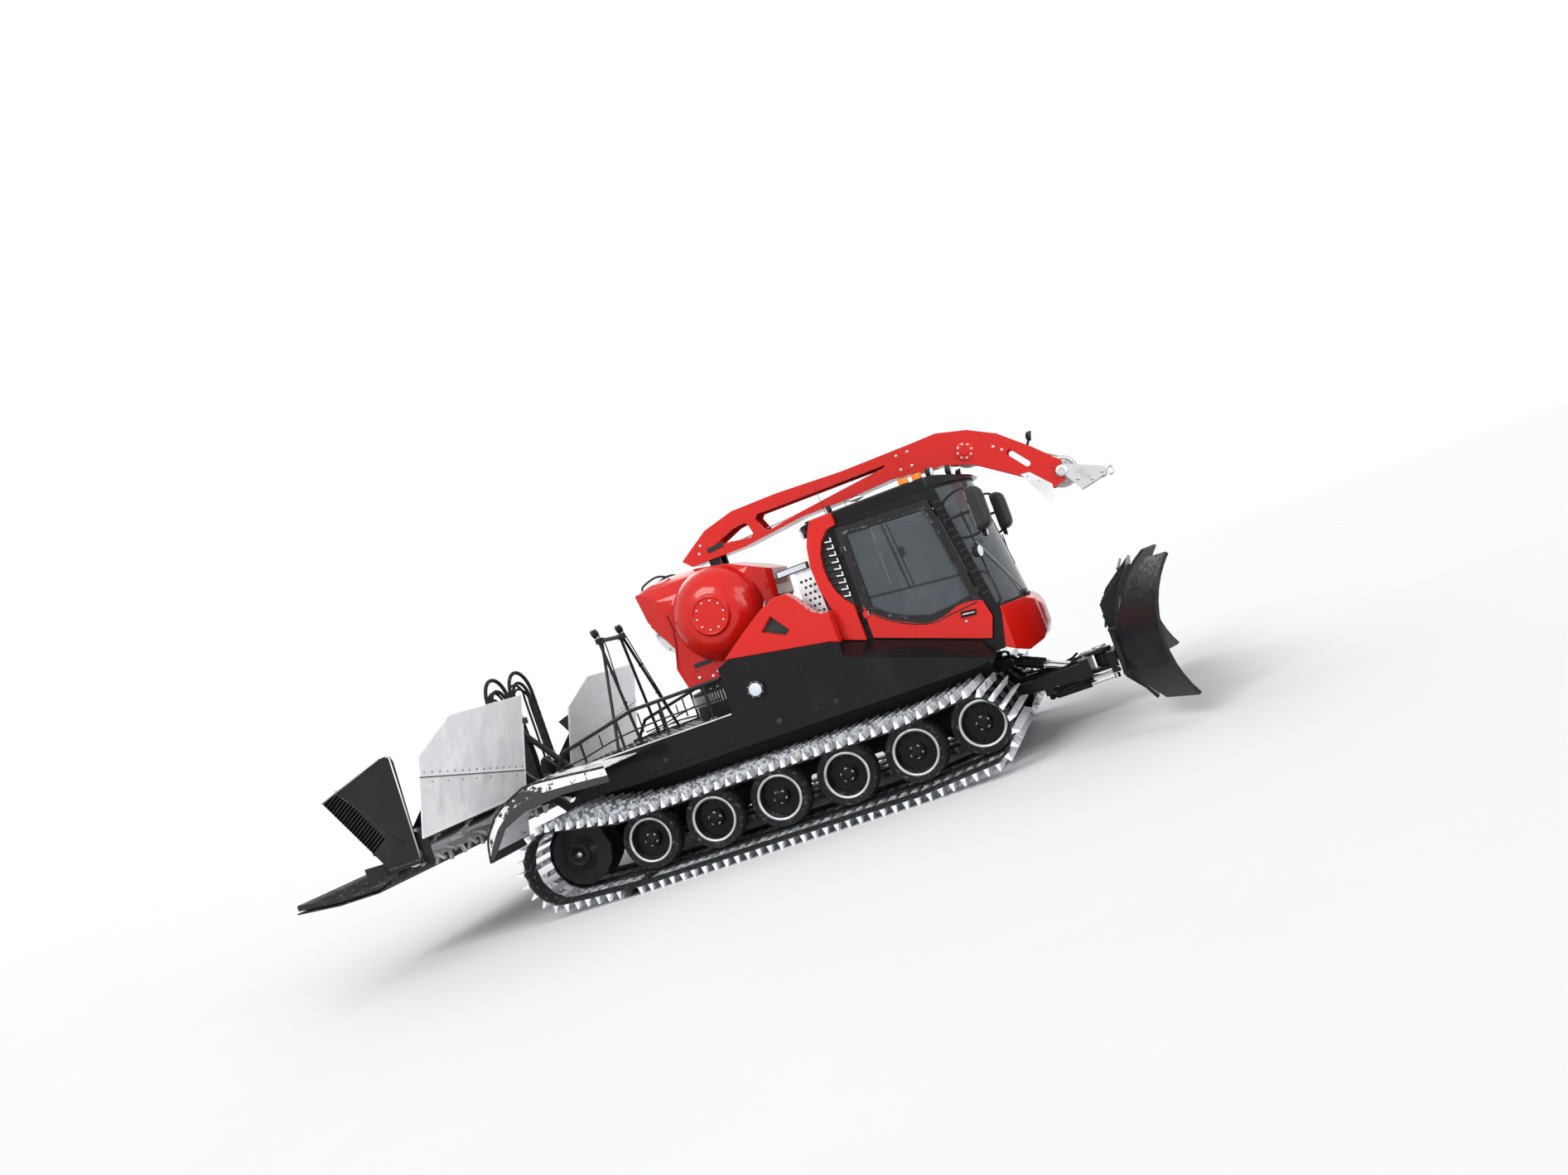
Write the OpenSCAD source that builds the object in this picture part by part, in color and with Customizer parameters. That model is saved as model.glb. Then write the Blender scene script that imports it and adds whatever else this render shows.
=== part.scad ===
// Snow groomer with a rope winch, front blade and rear tiller.
// Millimetres. +X is the front, +Y the left side, +Z up. The tracks stand on Z = 0.
// Side outlines are lists of [x, z], with x counted from the sprocket axle.

/* [Tracks] */
// Distance from the machine's middle to the middle of a track
track_y = 1375; // [1320:5:1450]
// Width of a track over its cross bars
track_w = 1450; // [1300:10:1480]
// Thickness of the rubber belts
belt_t = 15; // [10:1:20]
// Width of one rubber belt
belt_w = 240; // [180:10:300]
// Height of a cross bar above the belts
bar_h = 70; // [40:5:90]
// Width of a cross bar at its foot
bar_foot = 48; // [36:2:60]
// Width of a cross bar at its tip
bar_tip = 14; // [8:1:24]
// Largest distance from one cross bar to the next
bar_pitch = 112; // [100:1:160]
// Radius of a road wheel's tyre
wheel_r = 300; // [270:5:320]
// Width of a road wheel's tyre
wheel_w = 190; // [150:5:230]
// Radius of a road wheel's rim
rim_r = 228; // [190:2:240]
// Distance from one road wheel to the next
wheel_step = 700; // [660:5:740]
// From the sprocket axle to the first road wheel
first_wheel_x = 710; // [690:5:760]
// From the last road wheel to the front idler
idler_gap = 680; // [650:5:740]
// Radius of the belt round the sprocket
sprocket_r = 350; // [320:5:370]
// Sprocket axle above the road wheels' axles
sprocket_rise = 95; // [60:5:130]
// Idler axle above the road wheels' axles
idler_rise = 60; // [20:5:90]

/* [Chassis] */
// Width of the hull between the tracks
tub_w = 1120; // [1000:10:1240]
// Underside of the hull
tub_z = 400; // [340:10:460]
// Top of the hull
tub_top = 1000; // [960:10:1040]
// Radius of the axle tubes
axle_r = 55; // [40:5:70]

/* [Body] */
// Half the width of the body over the tracks
body_half = 1250; // [1200:5:1300]
// Thickness of the body's side panels
panel_t = 40; // [25:5:60]
// Lower edge of the body's side panels
skirt_z = 930; // [925:5:960]
// Top of the rear deck
deck_z = 1290; // [1270:5:1320]
// Rear end of the deck
deck_rear = -250; // [-300:10:-200]
// Radius of the handrail's tube
rail_r = 19; // [12:1:25]
// Height of the handrail above the deck
rail_h = 355; // [300:5:400]

/* [Cab] */
// Rear wall of the cab
cab_rear = 3130; // [3110:5:3160]
// Half the width of the cab
cab_half = 930; // [900:5:940]
// Thickness of the cab's walls
cab_wall = 50; // [40:2:60]
// Top of the cab floor
cab_floor = 1100; // [1080:5:1130]
// Underside of the roof
cab_top = 2690; // [2660:5:2700]
// Thickness of the roof
roof_t = 110; // [90:5:120]
// Thickness of the glass
glass_t = 10; // [6:1:14]
// Foremost point of the windscreen at its foot
screen_x = 4900; // [4880:5:4920]
// Radius of the windscreen seen from above
screen_r = 1390; // [1300:10:1500]
// Backward lean of the windscreen
screen_lean = 7; // [5:0.5:9]
// Gap round a door
door_gap = 8; // [6:1:12]
// Thickness of a door
door_t = 45; // [36:1:50]

/* [Winch] */
// Slewing axis of the winch from the sprocket axle
winch_x = 1650; // [1630:5:1670]
// Radius of the slewing ring
ring_r = 520; // [460:10:560]
// Half the width of the boom over its cheeks
boom_half = 170; // [150:5:190]
// Thickness of a cheek of the boom
cheek_t = 16; // [10:1:22]
// Radius of the two rope sheaves
sheave_r = 162; // [150:2:168]
// Width of a rope sheave
sheave_w = 60; // [40:2:80]
// Radius of the winch drum's flanges
drum_r = 280; // [240:5:290]

/* [Blade] */
// Width of the blade's middle section
blade_w = 3500; // [3300:50:3700]
// Height of the blade
blade_h = 1150; // [1050:10:1200]
// Radius of the blade's curved face
blade_r = 900; // [850:10:1100]
// Thickness of the blade's plate
blade_t = 30; // [20:2:40]
// Length of a blade wing
wing_len = 760; // [650:10:850]
// Forward set of the wings
wing_set = 28; // [20:1:35]
// Height of the cutting edge above the ground
blade_z = 220; // [180:10:300]

/* [Tiller] */
// Half the width of the tiller
tiller_half = 2650; // [2500:10:2700]
// Radius of the tiller rotor's tube
rotor_r = 95; // [80:5:110]
// Radius over the rotor's teeth
tooth_r = 185; // [165:5:195]
// Distance from one ring of teeth to the next
tooth_step = 160; // [140:5:220]
// Inside radius of the hood over the rotor
hood_r = 225; // [215:5:240]
// Thickness of the tiller's sheet metal
sheet_t = 12; // [8:1:16]

/* [Hidden] */
$fn = 48;

// Middle of the whole machine from the sprocket axle
x_mid = 1876;
// Gap between pieces that rest against each other
gap = 0.3;
// Radial clearance of a pin in its bore
pin_fit = 0.06;
wheels = 5;
wheel_z = wheel_r + gap + belt_t + bar_h;
sprocket_z = wheel_z + sprocket_rise;
idler_z = wheel_z + idler_rise;
last_wheel_x = first_wheel_x + (wheels - 1) * wheel_step;
idler_x = last_wheel_x + idler_gap;
tub_half = tub_w / 2;

// A side outline pulled to the width w from y0
module slab(y0, w)
  translate([0, y0 + w, 0]) rotate([90, 0, 0]) linear_extrude(w) children();
// A plan outline of [x, y] standing h high from z0
module plate(z0, h) translate([0, 0, z0]) linear_extrude(h) children();
module both_sides() {
  children();
  mirror([0, 1, 0]) children();
}
// The left side's child on the asked side, 1 for left and -1 for right
module on_side(side) mirror([0, side > 0 ? 0 : 1, 0]) children();
module block(x0, x1, y0, y1, z0, z1) translate([x0, y0, z0]) cube([x1 - x0, y1 - y0, z1 - z0]);
// Round bars along Y, along Z and from one point to another
module cross_bar(x, z, r, y0, y1) translate([x, y0, z]) rotate([-90, 0, 0]) cylinder(r = r, h = y1 - y0);
module upright_bar(x, y, r, z0, z1) translate([x, y, z0]) cylinder(r = r, h = z1 - z0);
module strut(p, q, r) {
  d = q - p;
  translate(p) rotate([0, acos(d.z / norm(d)), atan2(d.y, d.x)]) cylinder(r = r, h = norm(d));
}

function arc(x, z, r, a0, a1, n) =
  [for (i = [0:n]) let (a = a0 + (a1 - a0) * i / n) [x + r * cos(a), z + r * sin(a)]];
function backwards(p) = [for (i = [len(p) - 1:-1:0]) p[i]];
function moved(p, d) = [for (v = p) v + d];
function turned(v) = [-v[1], v[0]] / norm(v);
function corner(p, a, b, d) = p + d * (a + b) / (1 + a * b);
// An outline pulled in by d, for corners given counter-clockwise
function inset(p, d) = [for (i = [0:len(p) - 1])
  corner(p[i], turned(p[i] - p[(i + len(p) - 1) % len(p)]), turned(p[(i + 1) % len(p)] - p[i]), d)];
// A line of points moved sideways to its left by d
function beside(p, d) = [for (i = [0:len(p) - 1])
  let (a = turned(p[max(i, 1)] - p[max(i, 1) - 1]), b = turned(p[min(i + 1, len(p) - 1)] - p[min(i, len(p) - 2)]))
  corner(p[i], a, b, d)];
// A band of thickness t on the left of a line of points
function inset_line(p, d) = [for (v = p) v + [d, 0]];
// Where a line of points, falling in z, crosses the height z
function lookup_z(z, p) = lookup(-z, [for (v = p) [-v[1], v[0]]]);
function band(p, t) = concat(p, backwards(beside(p, t)));

// Points round a circle whose sides touch it, between two of its own points
function wrap(x, z, r, a0, a1, n) = let (h = (a1 - a0) / (2 * n)) concat(
  [[x + r * cos(a0), z + r * sin(a0)]],
  [for (i = [0:n - 1]) [x, z] + r / cos(h) * [cos(a0 + h * (2 * i + 1)), sin(a0 + h * (2 * i + 1))]],
  [[x + r * cos(a1), z + r * sin(a1)]]);
// The loop of a belt's face, at a distance off outside the wheels
function belt_loop(off) = concat(
  wrap(0, sprocket_z, sprocket_r + off, 98, 255, 7),
  wrap(first_wheel_x, wheel_z, wheel_r + off, 255, 270, 1),
  wrap(last_wheel_x, wheel_z, wheel_r + off, 270, 276, 1),
  wrap(idler_x, idler_z, wheel_r + off, 276, 455, 8),
  [[last_wheel_x, wheel_z + wheel_r + off], [first_wheel_x, wheel_z + wheel_r + off]]);
function step_length(p, i) = norm(p[(i + 1) % len(p)] - p[i % len(p)]);
function run_to(p) = [for (i = 0, s = 0; i <= len(p); s = s + step_length(p, i), i = i + 1) s];
belt_rows = [-1, 0, 1];
belt_edge = 15;

module track(side) translate([0, side * track_y, 0]) {
  outer = belt_loop(gap + belt_t);
  runs = run_to(outer);
  bars = ceil(runs[len(outer)] / bar_pitch);
  row_step = (track_w - belt_w) / 2 - belt_edge;
  color([0.1, 0.1, 0.1]) for (row = belt_rows) slab(row * row_step - belt_w / 2, belt_w) difference() {
    polygon(outer);
    polygon(belt_loop(gap));
  }
  color([0.75, 0.77, 0.8]) slab(-track_w / 2, track_w) for (k = [0:bars - 1]) {
    s = runs[len(outer)] * (k + 0.5) / bars;
    i = len([for (r = runs) if (r <= s) r]) - 1;
    d = (outer[(i + 1) % len(outer)] - outer[i]) / (runs[i + 1] - runs[i]);
    translate(outer[i] + d * (s - runs[i])) rotate(atan2(d[1], d[0])) polygon([
      [-bar_foot / 2, -gap], [-bar_tip / 2, -bar_h], [bar_tip / 2, -bar_h], [bar_foot / 2, -gap]]);
  }
}
module track_left() track(1);
module track_right() track(-1);

// Calls its children at each road wheel and at the idler
module at_wheels() {
  for (i = [0:wheels - 1]) translate([first_wheel_x + i * wheel_step, 0, wheel_z]) children();
  translate([idler_x, 0, idler_z]) children();
}
tyre_shoulder = 30;
tyre_drop = 14;
module tyres() color([0.08, 0.08, 0.08]) both_sides() translate([0, track_y, 0]) at_wheels()
  rotate([90, 0, 0]) rotate_extrude($fn = 40) polygon([
    [rim_r, -wheel_w / 2], [wheel_r - tyre_drop, -wheel_w / 2], [wheel_r, tyre_shoulder - wheel_w / 2],
    [wheel_r, wheel_w / 2 - tyre_shoulder], [wheel_r - tyre_drop, wheel_w / 2], [rim_r, wheel_w / 2]]);
rim_lip = 22;
rim_disc = 20;
rim_proud = 8;
hub_r = 75;
hub_h = 62;
module rims() color([0.3, 0.31, 0.32]) both_sides() translate([0, track_y, 0]) at_wheels()
  rotate([-90, 0, 0]) rotate_extrude($fn = 40) polygon([
    [0, -rim_disc], [rim_r - rim_lip, -rim_disc], [rim_r - rim_lip, -wheel_w / 2],
    [rim_r - gap, -wheel_w / 2], [rim_r - gap, wheel_w / 2 + rim_proud], [rim_r - rim_lip, wheel_w / 2 + rim_proud],
    [rim_r - 2 * rim_lip, 0], [hub_r + 12, 0], [hub_r, hub_h], [0, hub_h]]);

axle_flange = 45;
module wheel_axles() both_sides() at_wheels() rotate([-90, 0, 0]) {
  translate([0, 0, tub_half - 1]) cylinder(r = axle_r, h = track_y - rim_disc - tub_half + 1);
  translate([0, 0, tub_half - 1]) cylinder(r = axle_r + axle_flange, h = 36);
}

sprocket_hub = 200;
drive_len = 190;
ring_gap = 290;
ring_t = 40;
module sprockets() color([0.2, 0.2, 0.21]) both_sides() translate([0, 0, sprocket_z]) rotate([-90, 0, 0]) {
  translate([0, 0, tub_half]) cylinder(r = sprocket_hub - 30, h = drive_len);
  translate([0, 0, tub_half + drive_len]) cylinder(r = sprocket_hub, h = track_y - tub_half - drive_len + 150);
  translate([0, 0, track_y + 150]) cylinder(r1 = sprocket_hub, r2 = 120, h = 60);
  for (y = [-1, 1]) translate([0, 0, track_y + y * ring_gap / 2 - ring_t / 2])
    cylinder(r = sprocket_r - 30, h = ring_t, $fn = 12);
}

// Hull between the tracks
tub_rear = -330;
tub_front = 4330;
tub_back = [[tub_rear, 900], [-60, tub_top]];
tub_side = [tub_back[0], [tub_rear, 560], [tub_rear + 190, tub_z], [4200, tub_z], [4300, 520],
  [tub_front, 760], [tub_front, tub_top], [-60, tub_top]];
tow_r = 25;
tow_t = 30;
module tow_eye(x, z, reach) slab(-tow_t / 2, tow_t) difference() {
  polygon([[x - reach, z - 55], [x, z - 50], [x + sign(reach) * 55, z - 20], [x + sign(reach) * 55, z + 20], [x, z + 50], [x - reach, z + 55]]);
  translate([x, z]) circle(tow_r);
}
ear_t = 20;
module chassis_hull() color([0.13, 0.13, 0.14]) {
  wheel_axles();
  slab(-tub_half, tub_w) polygon(tub_side);
  tow_eye(tub_front + 90, 880, 100);
  tow_eye(tub_rear - 80, 640, -90);
  both_sides() {
    for (s = [-1, 1]) slab(push_y + s * 82 - ear_t / 2, ear_t) polygon(push_ear);
    cross_bar(push_x, push_z, push_pin, push_y - 92, push_y + 92);
    for (s = [-1, 1]) slab(lift_y + s * 42 - ear_t / 2, ear_t) polygon(lift_ear);
    cross_bar(lift_p[0], lift_p[1], lift_pin, lift_y - 52, lift_y + 52);
  }
}
module engine_block() color([0.35, 0.35, 0.36]) block(2260, 3060, -380, 380, tub_top, 1560);

// Guards over the rear of the tracks: the crown's line and the outer cheek's outline
fender_out = 2100;
fender_t = 12;
fender_crown = [[780, 1235], [40, 1305], [-180, 1262], [-420, 1150], [-600, 950], [-660, 720]];
fender_cheek = [[-560, 800], [-400, 985], [-150, 1080], [300, 1120], [790, 1090]];
module fenders() color([0.86, 0.87, 0.88]) both_sides() {
  slab(body_half + gap, fender_out - body_half - gap) polygon(band(fender_crown, fender_t));
  slab(fender_out - fender_t, fender_t) polygon(concat(fender_crown, fender_cheek));
}

// Black side bodies: a low rear part along the deck, a block beside the engine and a sloped part by the cab
sill_y = 990;
shoulder_x = 3120;
mid_x = 1880;
shoulder_drop = 150;
red_line = [[2020, 1790], [3030, 1620], [4380, 1140], [4480, 990]];
rear_side = [[deck_rear, skirt_z + 170], [150, skirt_z + 20], [700, skirt_z], [mid_x, skirt_z], [mid_x, deck_z],
  [deck_rear, deck_z]];
mid_side = [[mid_x, skirt_z], [shoulder_x, skirt_z], [shoulder_x, lookup(shoulder_x, red_line)], red_line[1],
  red_line[0], [mid_x, 1740]];
function front_side(drop) = [[shoulder_x, skirt_z], [4300, skirt_z], [4480, 990 - drop / 5], [4380, 1140 - drop],
  [shoulder_x, lookup(shoulder_x, red_line) - drop]];
module side_bodies() color([0.05, 0.05, 0.055]) both_sides() {
  slab(body_half - panel_t, panel_t) polygon(rear_side);
  slab(sill_y, body_half - sill_y) polygon(mid_side);
  hull() {
    slab(sill_y, 1) polygon(front_side(0));
    slab(body_half - 1, 1) polygon(front_side(shoulder_drop));
  }
  // Floor over the track, from the hull to the side panel
  block(deck_rear + 450, 4290, tub_half, body_half - panel_t + 1, skirt_z + 20, skirt_z + 40);
}

bulkhead_x = 2185;
hood_z = 1600;
module rear_deck() color([0.12, 0.12, 0.125]) {
  block(deck_rear + 20, mid_x - gap, gap - body_half + panel_t, body_half - panel_t - gap, deck_z - 50, deck_z - 20);
  block(mid_x - 1, bulkhead_x + 1, gap - sill_y, sill_y - gap, deck_z - 50, deck_z - 20);
  for (x = [300, 1000, 1700]) both_sides() block(x, x + 60, 300, 360, tub_top, deck_z - 50);
  block(bulkhead_x, bulkhead_x + 20, gap - sill_y, sill_y - gap, deck_z - 50, hood_z);
  block(bulkhead_x, shoulder_x - 5, gap - sill_y, sill_y - gap, hood_z, hood_z + 30);
}

// Handrails along both sides of the deck
rail_y = body_half - 75;
rail_line = [[-150, deck_z + 1], [-5, deck_z + rail_h * 0.52], [850, deck_z + rail_h], [1845, deck_z + rail_h]];
rail_posts = [200, 650, 1150, 1650];
foot_half = 32;
module handrails() both_sides() {
  for (i = [0:len(rail_line) - 2]) {
    strut([rail_line[i][0], rail_y, rail_line[i][1]], [rail_line[i + 1][0], rail_y, rail_line[i + 1][1]], rail_r);
    if (i > 0) translate([rail_line[i][0], rail_y, rail_line[i][1]]) sphere(rail_r + 2);
  }
  for (x = rail_posts) upright_bar(x, rail_y, rail_r - 5, deck_z - 12, lookup(x, rail_line));
  for (x = concat([rail_line[0][0]], rail_posts))
    block(x - foot_half, x + foot_half, rail_y - foot_half, rail_y + foot_half, deck_z - 20, deck_z + 4);
}

// Lamp mast behind the winch: [foot x, foot y, head y]
mast_legs = [[600, 600, 340], [330, 620, 270]];
mast_x = 415;
mast_z = 2460;
mast_r = 17;
mast_grip = 29;
module light_mast() {
  both_sides() for (m = mast_legs) {
    strut([m[0], m[1], deck_z - 8], [mast_x, m[2], mast_z - 12], mast_r, $fn = 12);
    block(mast_x - mast_grip, mast_x + mast_grip, m[2] - mast_grip, m[2] + mast_grip, mast_z - mast_grip, mast_z + mast_grip);
    block(m[0] - 50, m[0] + 50, m[1] - 50, m[1] + 50, deck_z - 20, deck_z);
  }
  cross_bar(mast_x, mast_z, 24, -380, 380, $fn = 12);
}

module deck_rails() color([0.05, 0.05, 0.05]) {
  handrails();
  light_mast();
}

// Red fairings beside the engine, each with a dark intake
fairing_in = 1020;
fairing_side = concat(moved([[3118, lookup(3118, red_line)]], [0, gap]), [[3118, 1900], [3050, 1900], [2950, 1960],
  [2850, 2120], [2770, 2205], [2650, 2205], [2490, 2140], [2240, 1985], [1970, 1800]],
  moved([red_line[0], red_line[1]], [0, gap]));
intake_side = [[2420, 1930], [2560, 2050], [2700, 1860], [2640, 1820]];
intake_deep = 50;
module fairings() color([0.75, 0.03, 0.03]) both_sides() difference() {
  slab(fairing_in, body_half - 20 - fairing_in) polygon(fairing_side);
  slab(body_half - 20 - intake_deep, intake_deep + 1) polygon(intake_side);
}

// Red pillars at the cab's rear corners, a sickle in side view, with a column of louvres before each
pillar_out = 1015;
louvre_front = 3334;
pillar_back = [[3050, 2360], [3085, 2560], [3140, 2700], [3200, 2796]];
sickle = [[3330, 2655], [3245, 2570], [3190, 2450], [3170, 2320], [3175, 2190], [3205, 2070], [3260, 1960], [louvre_front, 1870]];
module cab_pillars() color([0.75, 0.03, 0.03]) both_sides() slab(cab_half + gap, pillar_out - cab_half - gap)
  polygon(concat(sickle, [[louvre_front, lookup(louvre_front, red_line) + gap], [shoulder_x + 1, lookup(shoulder_x, red_line) + gap],
    [3118, 1890], [3062, 2120]], pillar_back, [[3425, 2796], [3425, 2670]]));
louvres_n = 9;
louvre_deep = 40;
module louvres() color([0.05, 0.05, 0.05]) both_sides() {
  slab(cab_half + gap, 10) polygon(concat(backwards(inset_line(sickle, gap)), [[louvre_front, 2655]]));
  for (i = [1:louvres_n]) slab(cab_half + gap, louvre_deep) polygon(let (z = 1920 + i * 70) [
    [lookup_z(z, sickle) + 6, z], [louvre_front, z - 22], [louvre_front, z - 10], [lookup_z(z, sickle) + 6, z + 12]]);
}

// Cab. Its front is a round wall of radius screen_r, leaning back
module screen_shape(r) translate([screen_x - screen_r, 0, cab_floor]) rotate([0, -screen_lean, 0])
  translate([0, 0, -600]) cylinder(r = r, h = 2800, $fn = 96);
cab_side = [[cab_rear, tub_top], [4560, tub_top], [4640, 1330], [4440, cab_top], [cab_rear, cab_top]];
door_rear = 3400;
door_low = 22;
function sill_line(x) = lookup(x, red_line) + door_low;
door_side = [[door_rear, sill_line(door_rear)], [4370, sill_line(4370)], [4480, 1130], [4555, 1330], [4500, 1560], [4350, 2585],
  [door_rear, 2640]];
window_side = [[3470, 1790], [3600, 1680], [3780, 1580], [3990, 1515], [4200, 1530], [4445, 1565], [4300, 2520], [3470, 2570]];
rear_window = [[-700, 1950], [700, 1950], [700, 2600], [-700, 2600]];
sill_z = 1390;
cowl_side = [[4640 + 3 * gap, sill_z], [4640 + 3 * gap, 1330], [4562 + 3 * gap, 1010], [4760, 900], [4900, 940], [4985, 1080], [4985, 1230], [4930, 1340], [4860, sill_z]];
hinge_x = door_rear - 8;
hinge_y = cab_half + door_t + 8;
hinge_zs = [1750, 2420];
hinge_r = 7;
knuckle_h = 60;
module cab_shell() color([0.06, 0.06, 0.065]) {
  inner = cab_half - cab_wall - gap;
  both_sides() {
    slab(cab_half - cab_wall, cab_wall) difference() {
      polygon(cab_side);
      polygon(inset(door_side, -door_gap));
    }
    for (z = hinge_zs) {
      upright_bar(hinge_x, hinge_y, hinge_r, z - knuckle_h, z + knuckle_h);
      for (s = [-1, 1]) block(hinge_x - 45, hinge_x + 2, cab_half, hinge_y + 3, z + s * (knuckle_h + 7) / 1.4 - 9, z + s * (knuckle_h + 7) / 1.4 + 9);
    }
  }
  block(cab_rear + cab_wall + gap, 4540, -inner, inner, tub_top, cab_floor);
  difference() {
    block(cab_rear, cab_rear + cab_wall, -inner, inner, tub_top, cab_top);
    translate([cab_rear - 1, 0, 0]) rotate([90, 0, 90]) linear_extrude(cab_wall + 2) polygon(rear_window);
  }
}
module cab_glass() color([0.1, 0.12, 0.14, 0.5]) {
  translate([cab_rear + 15, 0, 0]) rotate([90, 0, 90]) linear_extrude(glass_t) polygon(inset(rear_window, gap));
  intersection() {
    difference() {
      screen_shape(screen_r);
      screen_shape(screen_r - glass_t);
    }
    block(4200, 5200, cab_wall - cab_half + gap, cab_half - cab_wall - gap, sill_z + gap, cab_top - gap);
  }
}
roof_side = [[cab_rear - 60, cab_top + gap], [4770, cab_top + gap], [4755, cab_top + 25], [4450, cab_top + roof_t],
  [cab_rear + 60, cab_top + roof_t], [cab_rear - 60, cab_top + roof_t - 30]];
module cab_roof() color([0.07, 0.07, 0.075]) intersection() {
  slab(-cab_half, 2 * cab_half) polygon(roof_side);
  translate([screen_x - screen_r, 0, cab_top]) cylinder(r = screen_r - 120, h = roof_t + 1, $fn = 96);
}
module nose() color([0.75, 0.03, 0.03]) intersection() {
  slab(-cab_half, 2 * cab_half) polygon(cowl_side);
  translate([screen_x - screen_r, 0, 0]) cylinder(r = screen_r + 85, h = 2000, $fn = 96);
}
module cab_console() color([0.1, 0.1, 0.1])
  slab(-650, 1300) polygon([[4330, cab_floor], [4480, cab_floor], [4500, 1450], [4420, 1560], [4240, 1500], [4280, 1400]]);
seat_y = 400;
seat_half = 240;
module seats() color([0.12, 0.12, 0.13]) for (y = [-seat_y, seat_y]) {
  block(3520, 3880, y - 170, y + 170, cab_floor, cab_floor + 250);
  block(3440, 3960, y - seat_half, y + seat_half, cab_floor + 250, cab_floor + 400);
  slab(y - seat_half, 2 * seat_half) polygon([[3440, cab_floor + 400], [3560, cab_floor + 400], [3440, cab_floor + 1150],
    [3330, cab_floor + 1150]]);
}

module door(side) color([0.7, 0.03, 0.03]) on_side(side) {
  slab(cab_half + gap, door_t) difference() {
    polygon(door_side);
    polygon(window_side);
  }
  for (z = hinge_zs) difference() {
    union() {
      upright_bar(hinge_x, hinge_y, 2 * hinge_r, z - knuckle_h / 2, z + knuckle_h / 2);
      block(hinge_x, door_rear + 30, cab_half + door_t - 5, hinge_y + 3, z - knuckle_h / 2, z + knuckle_h / 2);
    }
    upright_bar(hinge_x, hinge_y, hinge_r + pin_fit, z - knuckle_h, z + knuckle_h);
  }
}
module door_glass(side) color([0.1, 0.12, 0.14, 0.5]) on_side(side)
  slab(cab_half + gap + 12, glass_t) polygon(inset(window_side, gap));
module door_left() door(1);
module door_right() door(-1);
module door_left_glass() door_glass(1);
module door_right_glass() door_glass(-1);

mirror_z = 2330;
module mirrors() color([0.06, 0.06, 0.06]) both_sides() {
  cross_bar(4452, mirror_z, 18, cab_half, cab_half + 90);
  strut([4452, cab_half + 80, mirror_z], [4770, 1140, mirror_z], 14);
  block(4760, 4815, 1040, 1260, mirror_z - 150, mirror_z + 150);
}
// Lamps: beacons as [x, y] on the roof, then round work lamps
beacons = [[4170, 800], [4300, 740]];
module lamps() color([0.9, 0.5, 0.1]) both_sides() {
  for (b = beacons) upright_bar(b[0], b[1], 50, cab_top + roof_t + gap, cab_top + roof_t + 72);
  cross_bar(2190, 1430, 70, body_half + gap, body_half + 50);
}

// Winch on the rear deck
base_h = 300;
boom_foot = 2860;
winch_floor = deck_z - 20 + base_h;
turn_t = 40;
module winch_base() color([0.1, 0.1, 0.1]) upright_bar(winch_x, 0, ring_r, deck_z - 20, winch_floor);
drum_x = 1330;
drum_z = 2300;
drum_pin = 60;
drum_half = 330;
wall_y = 360;
wall_t = 25;
wall_side = [[1290, winch_floor + turn_t - 1], [1715, winch_floor + turn_t - 1], [1745, 1810], [1970, 2000], [1900, 2500],
  [1800, 2590], [1300, 2590], [1250, 2520], [1230, 2300], [1310, 2090], [1250, 1880]];
post_side = [[1830, winch_floor + turn_t - 1], [1950, winch_floor + turn_t - 1], [1950, boom_foot - gap], [1830, boom_foot - gap]];
cover_bosses = [[1545, 1740], [1700, 1740]];
module winch_frame() color([0.12, 0.12, 0.12]) {
  upright_bar(winch_x, 0, ring_r - 90, winch_floor + gap, winch_floor + turn_t);
  both_sides() {
    slab(wall_y, wall_t) difference() {
      polygon(wall_side);
      translate([drum_x, drum_z]) circle(drum_pin + pin_fit);
    }
    slab(100, 50) polygon(post_side);
    for (b = cover_bosses) cross_bar(b[0], b[1], 35, wall_y + wall_t - 1, cover_half - cover_wall - gap);
  }
}
cover_half = 460;
cover_wall = 30;
cover_side = [[1240, 1650], [1760, 1650], [1790, 1790], [2030, 1850], [2230, 1960], [2330, 2150], [2480, 2260], [2500, 2540],
  [2300, 2640], [2050, 2755], [1700, 2825], [1400, 2850], [1180, 2840], [960, 2770], [1010, 2460], [1240, 2090], [1170, 1880]];
// The cover seen from above and from the rear, right halves
cover_plan = [[950, -300], [1250, -440], [1500, -cover_half], [2150, -cover_half], [2420, -390], [2510, -300]];
cover_rear = [[-cover_half, 1600], [cover_half, 1600], [cover_half, 2480], [425, 2640], [340, 2765], [210, 2835], [80, 2860]];
dome_x = 1830;
dome_z = 2285;
dome_y = 300;
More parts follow.
